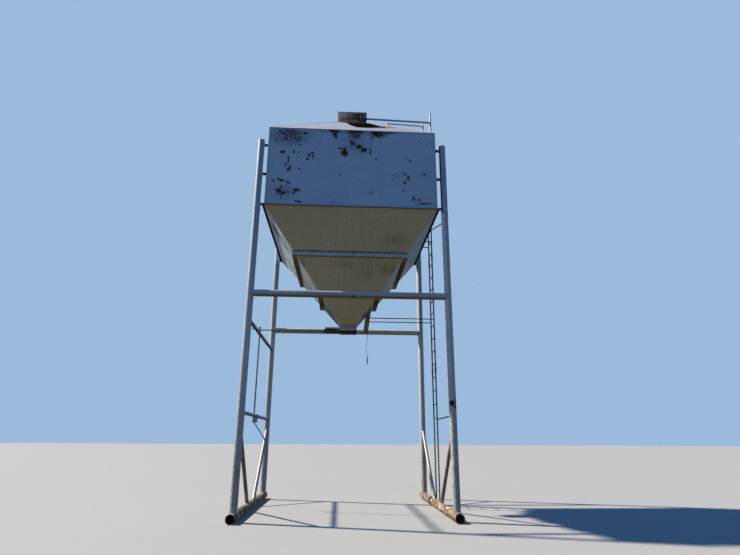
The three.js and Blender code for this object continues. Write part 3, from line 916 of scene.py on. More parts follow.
    # Painted shade: near black on downward faces; darker bands along the bottom of the gate frame
    # and its left guide
    NECK = ChalkedEnamel(
        "outlet_neck_enamel",
        "B4B1A2",
        "C2BFB0",
        "77756C",
        patches=(
            Patch((0, 0, 3.732), (WHOLE, WHOLE, 0.035), 0.6),
            Patch((-0.40, 0, 3.752), (0.24, WHOLE, 0.05), 0.7),
            Patch((0.19, -0.19, 3.80), (0.04, 0.1, 0.08), 0.4),
        ),
        under="15120F",
        streak_mm=50.0,
        streak=0.6,
        chip_mm=25.0,
        scale_colours=("0E0C0A", "1B1613", "35271E"),
    )
    LID = WeatheredLid("hatch_weathered_sheet", 0.37)
    TAR = RustedSteel(
        "brushed_roof_tar",
        ((0.3, "0C0907"), (0.55, "18120D"), (0.75, "2C2118")),
        mottle_mm=70.0,
        metallic=0.0,
        roughness=0.95,
        specular=0.0,
    )
    SCRATCH = WorkedMetal("worn_bright_steel", "B5A98C", "8C8470", 0.2, 0.6)
    WIRE = WorkedMetal("drawn_steel_wire", "4A4C50", "2C2A28", 0.6, 0.55)
    GRIP = WorkedMetal("worn_ash_grip", "5F5446", "3C342A", 0.0, 0.75, 12.0)
    WELD = RustedSteel(
        "painted_weld_bead",
        ((0.3, "6E6A66"), (0.5, "949A9F"), (0.7, "B4BAC0")),
        mottle_mm=40.0,
        roughness=0.6,
    )
    DARK_WELD = RustedSteel(
        "rusted_weld_bead",
        ((0.3, "2A2620"), (0.5, "4C4336"), (0.7, "73664F")),
        mottle_mm=40.0,
        roughness=0.8,
    )

    def material(self) -> bpy.types.Material:
        """Give this finish's material, made on first use."""
        return bpy.data.materials.get(self.value.name) or self.value.build()


def resample(path: list[Vector], step: float, closed: bool = False) -> list[Vector]:
    """Space points evenly along a path.

    Args:
        path: The path's corners.
        step: The wanted spacing.
        closed: Whether the path returns to its start.

    Returns:
        The evenly spaced points; a closed path's start isn't repeated.
    """
    corners = [Vector(p) for p in path] + ([Vector(path[0])] if closed else [])
    lengths = [(b - a).length for a, b in zip(corners, corners[1:])]
    total = sum(lengths)
    count = max(3, round(total / step))
    points = []
    leg, passed = 0, 0.0
    for index in range(count if closed else count + 1):
        goal = total * index / count
        while leg < len(lengths) - 1 and passed + lengths[leg] < goal:
            passed += lengths[leg]
            leg += 1
        share = (goal - passed) / max(lengths[leg], 1e-9)
        points.append(corners[leg].lerp(corners[leg + 1], min(share, 1.0)))
    return points


def turns(count: int) -> list[float]:
    """Give evenly spaced angles round a full turn."""
    return [2 * math.pi * k / count for k in range(count)]


def circle(centre: Vector, axis: Vector, radius: float, count: int = 24) -> list[Vector]:
    """Space points evenly round a circle.

    Args:
        centre: The circle's middle.
        axis: The direction that it is square to.
        radius: Its radius.
        count: How many points to give.

    Returns:
        The points, in order round the circle.
    """
    side = axis.orthogonal().normalized()
    other = axis.normalized().cross(side)
    return [centre + (side * math.cos(t) + other * math.sin(t)) * radius for t in turns(count)]


def upright_ring(middle: Point, wide: float, high: float, count: int) -> list[Vector]:
    """Give points round an ellipse that stands facing the front."""
    x, y, z = middle
    return [Vector((x + wide * math.cos(t), y, z + high * math.sin(t))) for t in turns(count)]


def square(half: float, z: float) -> list[Vector]:
    """Give the corners of a level square about the middle of the bin."""
    return [Vector((x * half, y * half, z)) for x, y in CORNERS]


@dataclass(frozen=True)
class Pipe:
    """The line and size of a pipe."""

    point: Vector
    axis: Vector
    radius: float


def saddle(start: Vector, way: Vector, radius: float, pipe: Pipe, count: int) -> list[Vector]:
    """Trace where a round bar meets the side of a pipe.

    Args:
        start: A point on the bar's axis, outside the pipe.
        way: The bar's direction towards the pipe.
        radius: The bar's radius.
        pipe: The pipe that it meets.
        count: How many points to give.

    Returns:
        Points round the joint, on the pipe's surface.
    """
    way = way.normalized()
    points = []
    for origin in circle(start, way, radius, count):
        offset = origin - pipe.point
        offset -= pipe.axis * offset.dot(pipe.axis)
        cross = way - pipe.axis * way.dot(pipe.axis)
        a, b, c = cross.dot(cross), 2 * offset.dot(cross), offset.dot(offset) - pipe.radius**2
        travel = (-b - math.sqrt(max(b * b - 4 * a * c, 0.0))) / (2 * a)
        points.append(origin + way * travel)
    return points


class Shape:
    """A mesh under construction, built up from worked parts into one named piece."""

    bead_sides = 6
    washer_high = 0.0025
    # Shares of a bolt's width across the flats
    washer_share, head_share, crown_share = 0.86, 0.5, 0.62
    # How far the crown of a bolt's head is narrowed
    crown_taper = 0.86

    def __init__(self) -> None:
        """Start with nothing."""
        self.mesh = bmesh.new()

    def skin(self, rings: list[list[bmesh.types.BMVert]], closed: bool) -> None:
        """Join neighbouring rings of vertices with quads.

        Args:
            rings: The rings, all with the same number of vertices.
            closed: Whether the last ring joins the first; if not, both ends are capped.
        """
        count = len(rings[0])
        for first, second in zip(rings, rings[1:]):
            for k in range(count):
                after = (k + 1) % count
                self.mesh.faces.new((first[k], first[after], second[after], second[k]))
        if closed:
            last, first = rings[-1], rings[0]
            shift = min(range(count), key=lambda s: (last[0].co - first[s].co).length)
            for k in range(count):
                a, b = (k + shift) % count, (k + 1 + shift) % count
                self.mesh.faces.new((last[k], last[(k + 1) % count], first[b], first[a]))
        else:
            self.mesh.faces.new(list(reversed(rings[0])))
            self.mesh.faces.new(rings[-1])

    def tube(
        self,
        path: list[Vector],
        radius: float,
        sides: int = 8,
        closed: bool = False,
        ripple: float = 0.0,
        pitch: float = 0.016,
    ) -> None:
        """Sweep a round section along a path.

        Args:
            path: The points to follow.
            radius: The section's radius.
            sides: How many sides the section has.
            closed: Whether the path returns to its start.
            ripple: How far the section swells and shrinks, as a share of its radius.
            pitch: The length of one swell.
        """
        count = len(path)
        normal = (path[1] - path[0]).orthogonal().normalized()
        rings, travelled = [], 0.0
        for index, point in enumerate(path):
            ahead = path[(index + 1) % count] if closed or index + 1 < count else point
            behind = path[index - 1] if closed or index else point
            tangent = (ahead - behind).normalized()
            normal = (normal - tangent * normal.dot(tangent)).normalized()
            other = tangent.cross(normal)
            size = radius * (1 + ripple * math.sin(2 * math.pi * travelled / pitch))
            rings.append(
                [
                    self.mesh.verts.new(point + (normal * math.cos(t) + other * math.sin(t)) * size)
                    for t in turns(sides)
                ]
            )
            travelled += (ahead - point).length
        self.skin(rings, closed)

    def bead(
        self, path: list[Vector], radius: float, closed: bool = False, step: float = 0.008
    ) -> None:
        """Lay a rippled weld bead along a path."""
        self.tube(resample(path, step, closed), radius, self.bead_sides, closed, BEAD_RIPPLE)

    def joint(
        self, start: Vector, way: Vector, radius: float, pipe: Pipe, bead: float, count: int
    ) -> None:
        """Weld a round bar to the side of a pipe, all round.

        Args:
            start: A point on the bar's axis, outside the pipe.
            way: The bar's direction towards the pipe.
            radius: The bar's radius.
            pipe: The pipe that it meets.
            bead: The weld bead's radius.
            count: How many points the joint is traced with.
        """
        self.bead(saddle(start, way, radius, pipe, count), bead, True)

    def turned(self, profile: Pairs, start: Vector, axis: Vector, sides: int = 24) -> None:
        """Turn a profile round an axis.

        Args:
            profile: Pairs of radius and distance along the axis, from one end to the other.
            start: Where the axis starts.
            axis: Its direction.
            sides: How many sides the turned body has.
        """
        way = axis.normalized()
        rings = [
            [self.mesh.verts.new(p) for p in circle(start + way * along, way, radius, sides)]
            for radius, along in profile
        ]
        self.skin(rings, False)

    def bolt(self, seat: Vector, axis: Vector, across: float = 0.024, washer: bool = True) -> None:
        """Set a hexagon head with its washer on a surface.

        Args:
            seat: The point on the surface.
            axis: The outward direction.
            across: The width of the hexagon.
            washer: Whether it has a washer.
        """
        way = axis.normalized()
        lift = 0.0
        if washer:
            lift = self.washer_high
            rim = across * self.washer_share
            self.turned([(rim, 0), (rim, lift)], seat, way, 20)
        corner = across / math.sqrt(3)
        side, crown = across * self.head_share, across * self.crown_share
        head = [(corner, 0), (corner, side), (corner * self.crown_taper, crown)]
        self.turned(head, seat + way * lift, way, 6)

    def plate(self, low: Point, high: Point, bevel: float = 0.002) -> None:
        """Add a flat plate with eased edges.

        Args:
            low: Its lowest corner.
            high: Its highest corner.
            bevel: How far the edges are eased.
        """
        low, high = Vector(low), Vector(high)
        place = Matrix.Translation((low + high) / 2) @ Matrix.Diagonal((*(high - low), 1))
        # A mesh of its own, because the places that a bevel frees are filled in no fixed order
        block = bmesh.new()
        bmesh.ops.create_cube(block, size=1, matrix=place)
        edges = list(block.edges)
        bmesh.ops.bevel(block, geom=edges, offset=bevel, segments=2, profile=0.5, affect="EDGES")
        data = bpy.data.meshes.new("plate")
        block.to_mesh(data)
        block.free()
        self.mesh.from_mesh(data)
        bpy.data.meshes.remove(data)

    def piece(
        self, name: str, finish: Finish, slot: str, body: str = "frame"
    ) -> bpy.types.Object:
        """Turn the shape into a piece that rides on a body.

        Args:
            name: The piece's name.
            finish: Its finish.
            slot: Not used.
            body: The body that it moves with.

        Returns:
            The new object.
        """
        bmesh.ops.recalc_face_normals(self.mesh, faces=self.mesh.faces)
        data = bpy.data.meshes.new(name)
        self.mesh.to_mesh(data)
        self.mesh.free()
        data.materials.append(finish.material())
        data.polygons.foreach_set("use_smooth", [True] * len(data.polygons))
        data.set_sharp_from_angle(angle=SHARP_ANGLE)
        made = bpy.data.objects.new(name, data)
        bpy.context.scene.collection.objects.link(made)
        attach(made, body)
        LOG.info("%s: %d faces", name, len(data.polygons))
        return made


def dress(nodes: list[str], finish: Finish, ease: float = 0.0) -> None:
    """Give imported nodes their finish, and ease the arrises of rolled or cut steel.

    Args:
        nodes: The nodes' names.
        finish: Their finish.
        ease: How far the edges are eased, or nothing for a round bar.
    """
    for name in nodes:
        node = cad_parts[name]
        node.data.materials.clear()
        node.data.materials.append(finish.material())
        skin = node.modifiers.new("one_skin", "WELD")
        skin.merge_threshold = MERGE_GAP
        if ease:
            bevel = node.modifiers.new("eased_arris", "BEVEL")
            bevel.width = ease
            bevel.segments = 2
            bevel.limit_method = "ANGLE"
            bevel.angle_limit = ARRIS_ANGLE
            bevel.use_clamp_overlap = True
        node.data.polygons.foreach_set("use_smooth", [True] * len(node.data.polygons))
        if "custom_normal" in node.data.attributes:
            node.data.attributes.remove(node.data.attributes["custom_normal"])
        split = node.modifiers.new("crisp_edges", "EDGE_SPLIT")
        split.split_angle = SPLIT_ANGLE
        LOG.info("%s dressed in %s", name, finish.value.name)


@dataclass(frozen=True)
class Viewpoint:
    """Where the picture is taken from: low down in front of the bin, looking up."""

    eye: Point = (-0.1626, -11.8033, 1.389)
    yaw: float = 0.05607
    pitch: float = 0.30403
    roll: float = 0.00519
    focal_px: float = 516.99
    image_px: int = 740
    sensor_mm: float = 36
    reach: float = 1000

    def build(self) -> None:
        """Make the camera and set it as the scene's."""
        data = bpy.data.cameras.new("view")
        data.sensor_width = self.sensor_mm
        data.lens = data.sensor_width * self.focal_px / self.image_px
        data.clip_end = self.reach
        flat = math.cos(self.pitch)
        ahead, across = math.cos(self.yaw) * flat, math.sin(self.yaw) * flat
        forward = Vector((across, ahead, math.sin(self.pitch)))
        level = Vector((math.cos(self.yaw), -math.sin(self.yaw), 0))
        upright = level.cross(forward)
        right = level * math.cos(self.roll) + upright * math.sin(self.roll)
        up = upright * math.cos(self.roll) - level * math.sin(self.roll)
        turn = Matrix((right, up, -forward)).transposed().to_4x4()
        camera = bpy.data.objects.new("view", data)
        camera.matrix_world = Matrix.Translation(self.eye) @ turn
        bpy.context.scene.collection.objects.link(camera)
        bpy.context.scene.camera = camera
        LOG.info("camera: lens %.2f mm", data.lens)


@dataclass(frozen=True)
class PullWire:
    """The wire that hangs from the strut under the hopper, and the grip on its end."""

    x: float = 0.452
    y: float = 0.084
    exit_z: float = 3.7377
    foot_z: float = 3.206
    seat_z: float = 3.190
    radius: float = 0.004
    # The way down in x and z, between the eye and the grip
    route: Pairs = (
        (0.4515, 3.7079), (0.4505, 3.678), (0.4491, 3.6482), (0.4473, 3.6184),
        (0.4451, 3.5887), (0.4427, 3.5589), (0.4397, 3.5292), (0.4359, 3.4996),
        (0.4296, 3.4704), (0.4226, 3.4414), (0.4199, 3.4118), (0.4225, 3.3821),
        (0.4276, 3.3526), (0.4336, 3.3234), (0.4413, 3.2946), (0.4478, 3.2654),
        (0.4513, 3.2358),
    )
    # The grip's radius and how far down it that is
    grip_profile: Pairs = (
        (0.006, 0.0), (0.0095, 0.002), (0.0125, 0.010), (0.0105, 0.024), (0.0115, 0.060),
        (0.0128, 0.100), (0.0118, 0.130), (0.0128, 0.146), (0.0110, 0.156), (0.0060, 0.1595),
    )

    def build(self) -> None:
        ends = ((self.x, self.exit_z), *self.route, (self.x, self.foot_z), (self.x, self.seat_z))
        points = [Vector((x, self.y, z)) for x, z in ends]
        wire = Shape()
        wire.tube(resample(points, 0.008), self.radius, 10)
        made = wire.piece("pull_wire_drawn", Finish.WIRE, "wire")
        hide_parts("pull_wire")
        grip = Shape()
        grip.turned(self.grip_profile, Vector((self.x, self.y, self.foot_z - 0.0003)), -UP, 20)
        handle = grip.piece("pull_grip_turned", Finish.GRIP, "grip")
        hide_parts("pull_grip")


@dataclass(frozen=True)
class Studio:
    """A plain pale floor and soft daylight from the upper left, a little behind the bin."""

    sun_way: Point = (-0.669, 0.2135, 0.712)
    sun_power: float = 6.4
    sun_spread: float = 2.0
    sun_colour: Point = (1.0, 0.965, 0.92)
    floor_half: float = 150.0

    def build(self) -> None:
        """Make the floor, the sun and the soft surroundings."""
        data = bpy.data.lights.new("key", "SUN")
        data.energy = self.sun_power
        data.angle = math.radians(self.sun_spread)
        data.color = self.sun_colour
        key = bpy.data.objects.new("key", data)
        key.rotation_euler = Vector(self.sun_way).to_track_quat("Z", "Y").to_euler()
        bpy.context.scene.collection.objects.link(key)
        bpy.context.scene.view_settings.view_transform = "Standard"
        self._floor()
        self._sky()

    def _floor(self) -> None:
        """Lay the pale floor that the skids rest on."""
        data = bpy.data.meshes.new("floor")
        corners = square(self.floor_half, 0)
        data.from_pydata(corners, [], [(0, 1, 2, 3)])
        tree = Tree("pale_floor")
        surface = tree.node("BsdfPrincipled", {"Base Color": linear("A5A096"), "Roughness": 0.9})
        tree.node("OutputMaterial", {"Surface": surface})
        data.materials.append(tree.owner)
        floor = bpy.data.objects.new("floor", data)
        bpy.context.scene.collection.objects.link(floor)
        floor.visible_diffuse = False
        floor.visible_glossy = False

    def _sky(self) -> None:
        """Surround the scene with soft light: cool from above, warm and dim from below."""
        tree = Tree("surroundings", world=True)
        bpy.context.scene.world = tree.owner
        way = tree.node("TexCoord", out="Generated")
        height = tree.node("SeparateXYZ", {0: way}, "Z")
        share = tree.node("MapRange", {"Value": height, "From Min": -1.0})
        tint = tree.node(
            "ValToRGB",
            {"Fac": share},
            stops=(
                (0.0, "7B735D"),
                (0.44, "7B735D"),
                (0.5, "66799A"),
                (0.56, "4B79B4"),
                (1.0, "4475B8"),
            ),
        )
        light = tree.node("Background", {"Color": tint})
        backdrop = tree.node("Background", {"Color": linear("9CBADB")})
        seen = tree.node("LightPath", out="Is Camera Ray")
        mixed = tree.node("MixShader", {0: seen, 1: light, 2: backdrop})
        tree.node("OutputWorld", {"Surface": mixed})


@dataclass(frozen=True)
class Stand:
    """Legs, skids, cross and side pipes and braces, with the welds that hold them together."""

    leg_x: float = 1.973
    leg_y: float = 1.854
    leg_radius: float = 0.06985
    leg_top: float = 7.578
    splice_z: float = 5.960
    skid_radius: float = 0.08415
    skid_z: float = 0.0834
    skid_end: float = 2.1010
    cross_z: float = 4.146
    side_radius: float = 0.0365
    side_levels: tuple[float, float] = (3.632, 1.869)
    brace_head_z: float = 1.640
    brace_foot_y: float = 0.350
    stub_radius: float = 0.03015
    stub_levels: tuple[float, float, float] = (6.095, 6.800, 7.500)
    bin_half: float = 1.829
    lug_y: float = -1.2
    foot_bead: float = 0.009
    cross_bead: float = 0.008
    pipe_bead: float = 0.007
    stub_bead: float = 0.006
    burr_seed: int = 5

    def build(self) -> None:
        """Dress the stand and add its welds and caps."""
        places = [(end, side) for end in ("front", "back") for side in ("left", "right")]
        for end, side in places:
            marked = (end, side) == ("front", "right")
            dress([f"leg_{end}_{side}"], Finish.MARKED_LEG if marked else Finish.PIPE)
            shaded = side == "right"
            dress([f"leg_head_{end}_{side}"], Finish.SHADED_HEAD if shaded else Finish.PIPE)
            dress([f"brace_{end}_{side}"], Finish.BRACE if end == "front" else Finish.BACK_BRACE)
        dress(["skid_left", "skid_right"], Finish.SKID, 0.001)
        dress(["cross_pipe_front"], Finish.PIPE_ACROSS)
        dress(["cross_pipe_back"], Finish.PIPE_BACK)
        dress(["side_pipe_upper", "side_pipe_lower"], Finish.PIPE_ALONG)
        self._leg_welds()
        self._pipe_welds()
        self._skid_lips()
        self._lug()

    def _leg(self, sx: int, sy: int) -> Pipe:
        """Give one leg's line and size."""
        return Pipe(Vector((sx * self.leg_x, sy * self.leg_y, 0)), UP, self.leg_radius)

    def _skid(self, sx: int) -> Pipe:
        """Give one skid's line and size."""
        return Pipe(Vector((sx * self.leg_x, 0, self.skid_z)), BACK, self.skid_radius)

    def _leg_welds(self) -> None:
        """Weld each leg to its skid, splice it, cap it, and weld its stubs to it and to the bin."""
        welds, caps = Shape(), Shape()
        for sx, sy in LEG_SIGNS:
            leg = self._leg(sx, sy)
            above, skid = leg.point + UP, self._skid(sx)
            welds.joint(above, -UP, self.leg_radius, skid, self.foot_bead, LEG_POINTS)
            splice = circle(leg.point + UP * self.splice_z, UP, self.leg_radius, LEG_POINTS)
            welds.bead(splice, self.stub_bead, True)
            top = leg.point + UP * self.leg_top
            rim = self.leg_radius - 0.002
            caps.turned([(rim, 0), (rim, 0.004), (0.05, 0.008)], top, UP, 32)
            caps.bead(circle(top, UP, self.leg_radius - 0.003, 40), 0.0045, True)
            inward = Vector((-sx, 0, 0))
            for z in self.stub_levels:
                start = Vector((sx * self.bin_half, sy * (self.bin_half - self.stub_radius), z))
                welds.joint(start, -inward, self.stub_radius, leg, self.stub_bead, STUB_POINTS)
                if z > self.stub_levels[0]:
                    seat = start - inward * 0.002
                    ring = circle(seat, inward, self.stub_radius, STUB_POINTS)
                    welds.bead(ring, self.stub_bead, True)
        welds.piece("stand_leg_welds", Finish.WELD, "pipe_paint")
        caps.piece("stand_leg_caps", Finish.PIPE, "pipe_paint")

    def _pipe_welds(self) -> None:
        """Weld the cross pipes, side pipes and braces at both their ends."""
        welds = Shape()
        for sx, sy in LEG_SIGNS:
            leg = self._leg(sx, sy)
            middle = Vector((0, sy * self.leg_y, self.cross_z))
            # A hair under the leg's own radius, so that the two pipes' sides still cross
            thin = self.leg_radius * 0.995
            welds.joint(middle, Vector((sx, 0, 0)), thin, leg, self.cross_bead, LEG_POINTS)
            head = Vector((sx * self.leg_x, sy * self.leg_y, self.brace_head_z))
            foot = Vector((sx * self.leg_x, sy * self.brace_foot_y, self.skid_z))
            middle = (head + foot) / 2
            for way, pipe in ((head - foot, leg), (foot - head, self._skid(sx))):
                welds.joint(middle, way, self.side_radius, pipe, self.pipe_bead, SIDE_POINTS)
        for z in self.side_levels:
            for sy in (-1, 1):
                middle, leg = Vector((-self.leg_x, 0, z)), self._leg(-1, sy)
                welds.joint(middle, BACK * sy, self.side_radius, leg, self.pipe_bead, SIDE_POINTS)
        welds.piece("stand_pipe_welds", Finish.WELD, "pipe_paint")

    def _skid_lips(self) -> None:
        """Give the skids' sawn ends a ragged burr."""
        lips = Shape()
        rng = random.Random(self.burr_seed)
        for sx in (-1, 1):
            for sy in (-1, 1):
                end = Vector((sx * self.leg_x, sy * self.skid_end, self.skid_z))
                ring = circle(end, BACK, self.skid_radius - 0.0045, LEG_POINTS)
                path = [p + BACK * rng.uniform(-0.0004, 0.0004) for p in ring]
                lips.tube(path, 0.0028, 6, True, ripple=0.2, pitch=0.03)
        lips.piece("skid_end_burrs", Finish.SKID, "rusty_pipe")

    def _lug(self) -> None:
        """Hang the small drilled lug under the upper side pipe."""
        lug = Shape()
        thick, wide = 0.004, 0.03
        x, y, z = -self.leg_x, self.lug_y, self.side_levels[0] - self.side_radius
        lug.plate((x - thick, y - wide, z - 0.055), (x + thick, y + wide, z + 0.004), 0.002)
        for side in (-1, 1):
            toe = x + side * 0.006
            lug.bead([Vector((toe, y - wide, z)), Vector((toe, y + wide, z))], 0.004)
            lug.bolt(Vector((x + side * thick, y, z - 0.03)), Vector((side, 0, 0)), 0.016)
        lug.piece("side_pipe_lug", Finish.LEVER, "pipe_paint")


@dataclass(frozen=True)
class Body:
    """The square bin: walls, skirt angle, hopper, rings and outlet neck."""

    half: float = 1.829
    wall_foot: float = 6.070
    wall_head: float = 7.940
    outlet_half: float = 0.178
    outlet_z: float = 3.886
    neck_foot: float = 3.8323
    ring_levels: tuple[float, float] = (5.230, 4.480)
    ring_height: float = 0.102
    ring_gap: float = 0.3
    skirt_gap: float = 0.36
    stitch: float = 0.06
    plate_ease: float = 0.0015
    scrape: Pairs = ((1.60, 7.61), (1.80, 7.73))
    scrape_steps: int = 14
    scrape_seed: int = 11

    def hopper_half(self, z: float) -> float:
        """Half the hopper's outside width at a height."""
        run = (self.half - self.outlet_half) / (self.wall_foot - self.outlet_z)
        return self.outlet_half + (z - self.outlet_z) * run

    def build(self) -> None:
        """Dress the body and add its seams."""
        dress(["wall_front"], Finish.WALL_FRONT, self.plate_ease)
        dress(["wall_left", "wall_right", "wall_back"], Finish.WALL, self.plate_ease)
        dress(["hopper_front"], Finish.HOPPER_FRONT, self.plate_ease)
        dress(["hopper_back"], Finish.HOPPER_BACK, self.plate_ease)
        dress(["hopper_left"], Finish.HOPPER_LEFT, self.plate_ease)
        dress(["hopper_right"], Finish.HOPPER_RIGHT, self.plate_ease)
        dress(["skirt_angle"], Finish.SKIRT, 0.002)
        dress(["hopper_ring_upper", "hopper_ring_lower"], Finish.RING, 0.002)
        dress(["outlet_neck"], Finish.NECK, self.plate_ease)
        self._seams()
        self._stitches()
        self._scrape()

    def _seams(self) -> None:
        """Lay the weld seams down the corners, round the eaves and round the neck."""
        corners, hopper, neck = Shape(), Shape(), Shape()
        outlet = square(self.outlet_half, self.outlet_z + 0.002)
        for (x, y, _), end in zip(square(self.half, 0), outlet):
            foot = Vector((x, y, self.wall_foot + 0.055))
            head = Vector((x, y, self.wall_head - 0.003))
            corners.bead([foot, head], 0.0045, step=0.012)
            start = Vector((x * 0.9975, y * 0.9975, self.wall_foot - 0.006))
            hopper.bead([start, end], 0.005, step=0.012)
        corners.bead(square(self.half - 0.001, self.wall_head), 0.005, True, 0.014)
        neck_half = self.outlet_half + 0.002
        neck.bead(square(neck_half, self.outlet_z), 0.006, True, 0.01)
        neck.bead(square(neck_half, self.neck_foot + 0.004), 0.005, True, 0.01)
        corners.piece("wall_seams", Finish.WELD, "wall_paint")
        hopper.piece("hopper_seams", Finish.HOPPER_SIDE, "hopper_paint")
        neck.piece("neck_seams", Finish.DARK_WELD, "hopper_paint")

    def _stitches(self) -> None:
        """Stitch the rings to the hopper and the skirt angle to the walls with short welds."""
        rings, skirt = Shape(), Shape()
        rows = []
        for level in self.ring_levels:
            for edge in (-1, 1):
                z = level + edge * self.ring_height / 2
                rows.append((rings, self.hopper_half(z) + 0.003, z, self.ring_gap))
        rows.append((skirt, self.half + 0.0066, self.wall_foot + 0.0505, self.skirt_gap))
        for stitches, half, z, gap in rows:
            ring = square(half, z)
            for a, b in zip(ring, ring[1:] + ring[:1]):
                reach = (b - a).normalized() * self.stitch / 2
                count = max(2, int((b - a).length / gap))
                for k in range(count):
                    middle = a.lerp(b, (k + 0.5) / count)
                    stitches.bead([middle - reach, middle + reach], 0.005)
        rings.piece("ring_stitch_welds", Finish.DARK_WELD, "ring_paint")
        skirt.piece("skirt_stitch_welds", Finish.WALL, "wall_paint")

    def _scrape(self) -> None:
        """Scrape the pale mark near the front wall's right corner, where the coat is rubbed off."""
        mark = Shape()
        rng = random.Random(self.scrape_seed)
        skin = -self.half - 0.0005
        start, end = (Vector((x, skin, z)) for x, z in self.scrape)
        steps = self.scrape_steps
        points = [
            start.lerp(end, k / steps) + UP * rng.uniform(-0.008, 0.008) for k in range(steps + 1)
        ]
        for k, (a, b) in enumerate(zip(points, points[1:])):
            wide = 0.004 + 0.006 * math.sin(math.pi * (k + 0.5) / steps)
            low = (a.x - 0.002, skin - 0.0001, min(a.z, b.z) - wide)
            high = (b.x + 0.002, skin + 0.0009, max(a.z, b.z) + wide)
            mark.plate(low, high, 0.0003)
        mark.piece("wall_scrape", Finish.SCRATCH, "wall_paint")


@dataclass(frozen=True)
class Roof:
    """The pyramid roof and the hatch at its top."""

    half: float = 1.829
    eave_z: float = 7.9443
    rise: float = 1.473
    collar_half: float = 0.338
    lid_half: float = 0.370
    lid_foot: float = 9.256
    lid_head: float = 9.433
    hasp_x: float = 0.205
    hasp_wide: float = 0.024
    handle_x: float = -0.272
    # The tar's outline in x and y, and how far its edge wanders
    tar_outline: Pairs = (
        (-0.17, -0.42), (-0.12, -0.62), (-0.06, -0.88), (0.01, -1.12), (0.10, -1.32),
        (0.26, -1.35), (0.45, -1.33), (0.62, -1.25), (0.80, -1.24), (0.78, -1.06),
        (0.66, -0.90), (0.56, -0.66), (0.45, -0.46), (0.40, -0.42), (0.15, -0.40),
    )
    tar_wander: float = 0.012
    tar_seed: int = 3

    def surface(self, half: float) -> float:
        """Height of the roof's upper face at a distance from the middle."""
        return self.eave_z + (self.half - half) * self.rise / self.half

    def build(self) -> None:
        """Dress the roof and hatch, and add hip seams, tar, lid rims, handle and hasp."""
        dress([f"roof_{side}" for side in ("front", "right", "back", "left")], Finish.ROOF, 0.001)
        dress(["hatch_collar", "hatch_lid"], Finish.LID, 0.0015)
        seams = Shape()
        high_half = self.collar_half + 0.004
        lows = square(self.half - 0.004, self.surface(self.half))
        highs = square(high_half, self.surface(high_half) + 0.002)
        for low, high in zip(lows, highs):
            seams.bead([low, high], 0.006, step=0.014)
        ring = square(self.collar_half + 0.003, self.surface(self.collar_half) + 0.003)
        seams.bead(ring, 0.006, True, 0.01)
        seams.piece("roof_hip_seams", Finish.ROOF, "roof_paint")
        self._tar_patch()
        self._lid_rims()
        self._lid_hardware()

    def _tar_patch(self) -> None:
        """Brush dark tar on the front facet, between the hatch and the right hip."""
        rng = random.Random(self.tar_seed)
        wander = self.tar_wander
        corners = [Vector((x, y, 0)) for x, y in self.tar_outline]
        patch = Shape()
        top, foot = [], []
        for point in resample(corners, 0.03, True):
            x, y = (c + rng.uniform(-wander, wander) for c in point.xy)
            skin = self.surface(-y)
            foot.append(patch.mesh.verts.new((x, y, skin + 0.0004)))
            top.append(patch.mesh.verts.new((x * 0.995, y * 0.997 - 0.002, skin + 0.003)))
        patch.skin([foot, top], False)
        patch.piece("roof_tar_patch", Finish.TAR, "roof_paint")

    def _lid_rims(self) -> None:
        """Roll the lid's two rims and the lap across its front."""
        rims = Shape()
        half, low, high = self.lid_half, self.lid_foot, self.lid_head
        for z, radius in ((high - 0.008, 0.009), (low + 0.007, 0.007)):
            ring = resample(square(half - 0.001, z), 0.04, True)
            rims.tube(ring, radius, 8, True, ripple=0.1, pitch=0.21)
        lap = [Vector((-half + 0.03, -half, low + 0.105)), Vector((0.14, -half, low + 0.109))]
        rims.tube(resample(lap, 0.03), 0.006, 6, ripple=0.2, pitch=0.17)
        rims.piece("hatch_lid_rims", Finish.LID, "rusty_lid")

    def _lid_hardware(self) -> None:
        """Add the hasp, the bent handle with its clip, and the hinge knuckles behind."""
        hardware = Shape()
        half, low, high = self.lid_half, self.lid_foot, self.lid_head
        left, right, foot = self.hasp_x, self.hasp_x + self.hasp_wide, low - 0.075
        hardware.plate((left, -half - 0.006, foot), (right, -half - 0.001, high - 0.06))
        for z in (foot + 0.015, low + 0.03, high - 0.075):
            seat = Vector((left + self.hasp_wide / 2, -half - 0.006, z))
            hardware.bolt(seat, -BACK, 0.012, False)
        middle = (self.handle_x, -half - 0.012, low - 0.062)
        hardware.tube(upright_ring(middle, 0.075, 0.06, 28), 0.010, 8, True)
        hardware.plate((-0.275, -half - 0.020, low + 0.002), (-0.235, -half - 0.001, low + 0.03))
        knuckle = [(0.011, 0), (0.012, 0.003), (0.012, 0.097), (0.011, 0.1)]
        for x in (-0.2, 0.2):
            hardware.turned(knuckle, Vector((x - 0.05, half + 0.012, low + 0.02)), RIGHT, 16)
            leaf_foot, leaf_head = (half - 0.001, low + 0.01), (half + 0.005, low + 0.09)
            hardware.plate((x - 0.045, *leaf_foot), (x + 0.045, *leaf_head), 0.0015)
        hardware.piece("hatch_lid_hardware", Finish.SCRATCH, "rusty_lid")


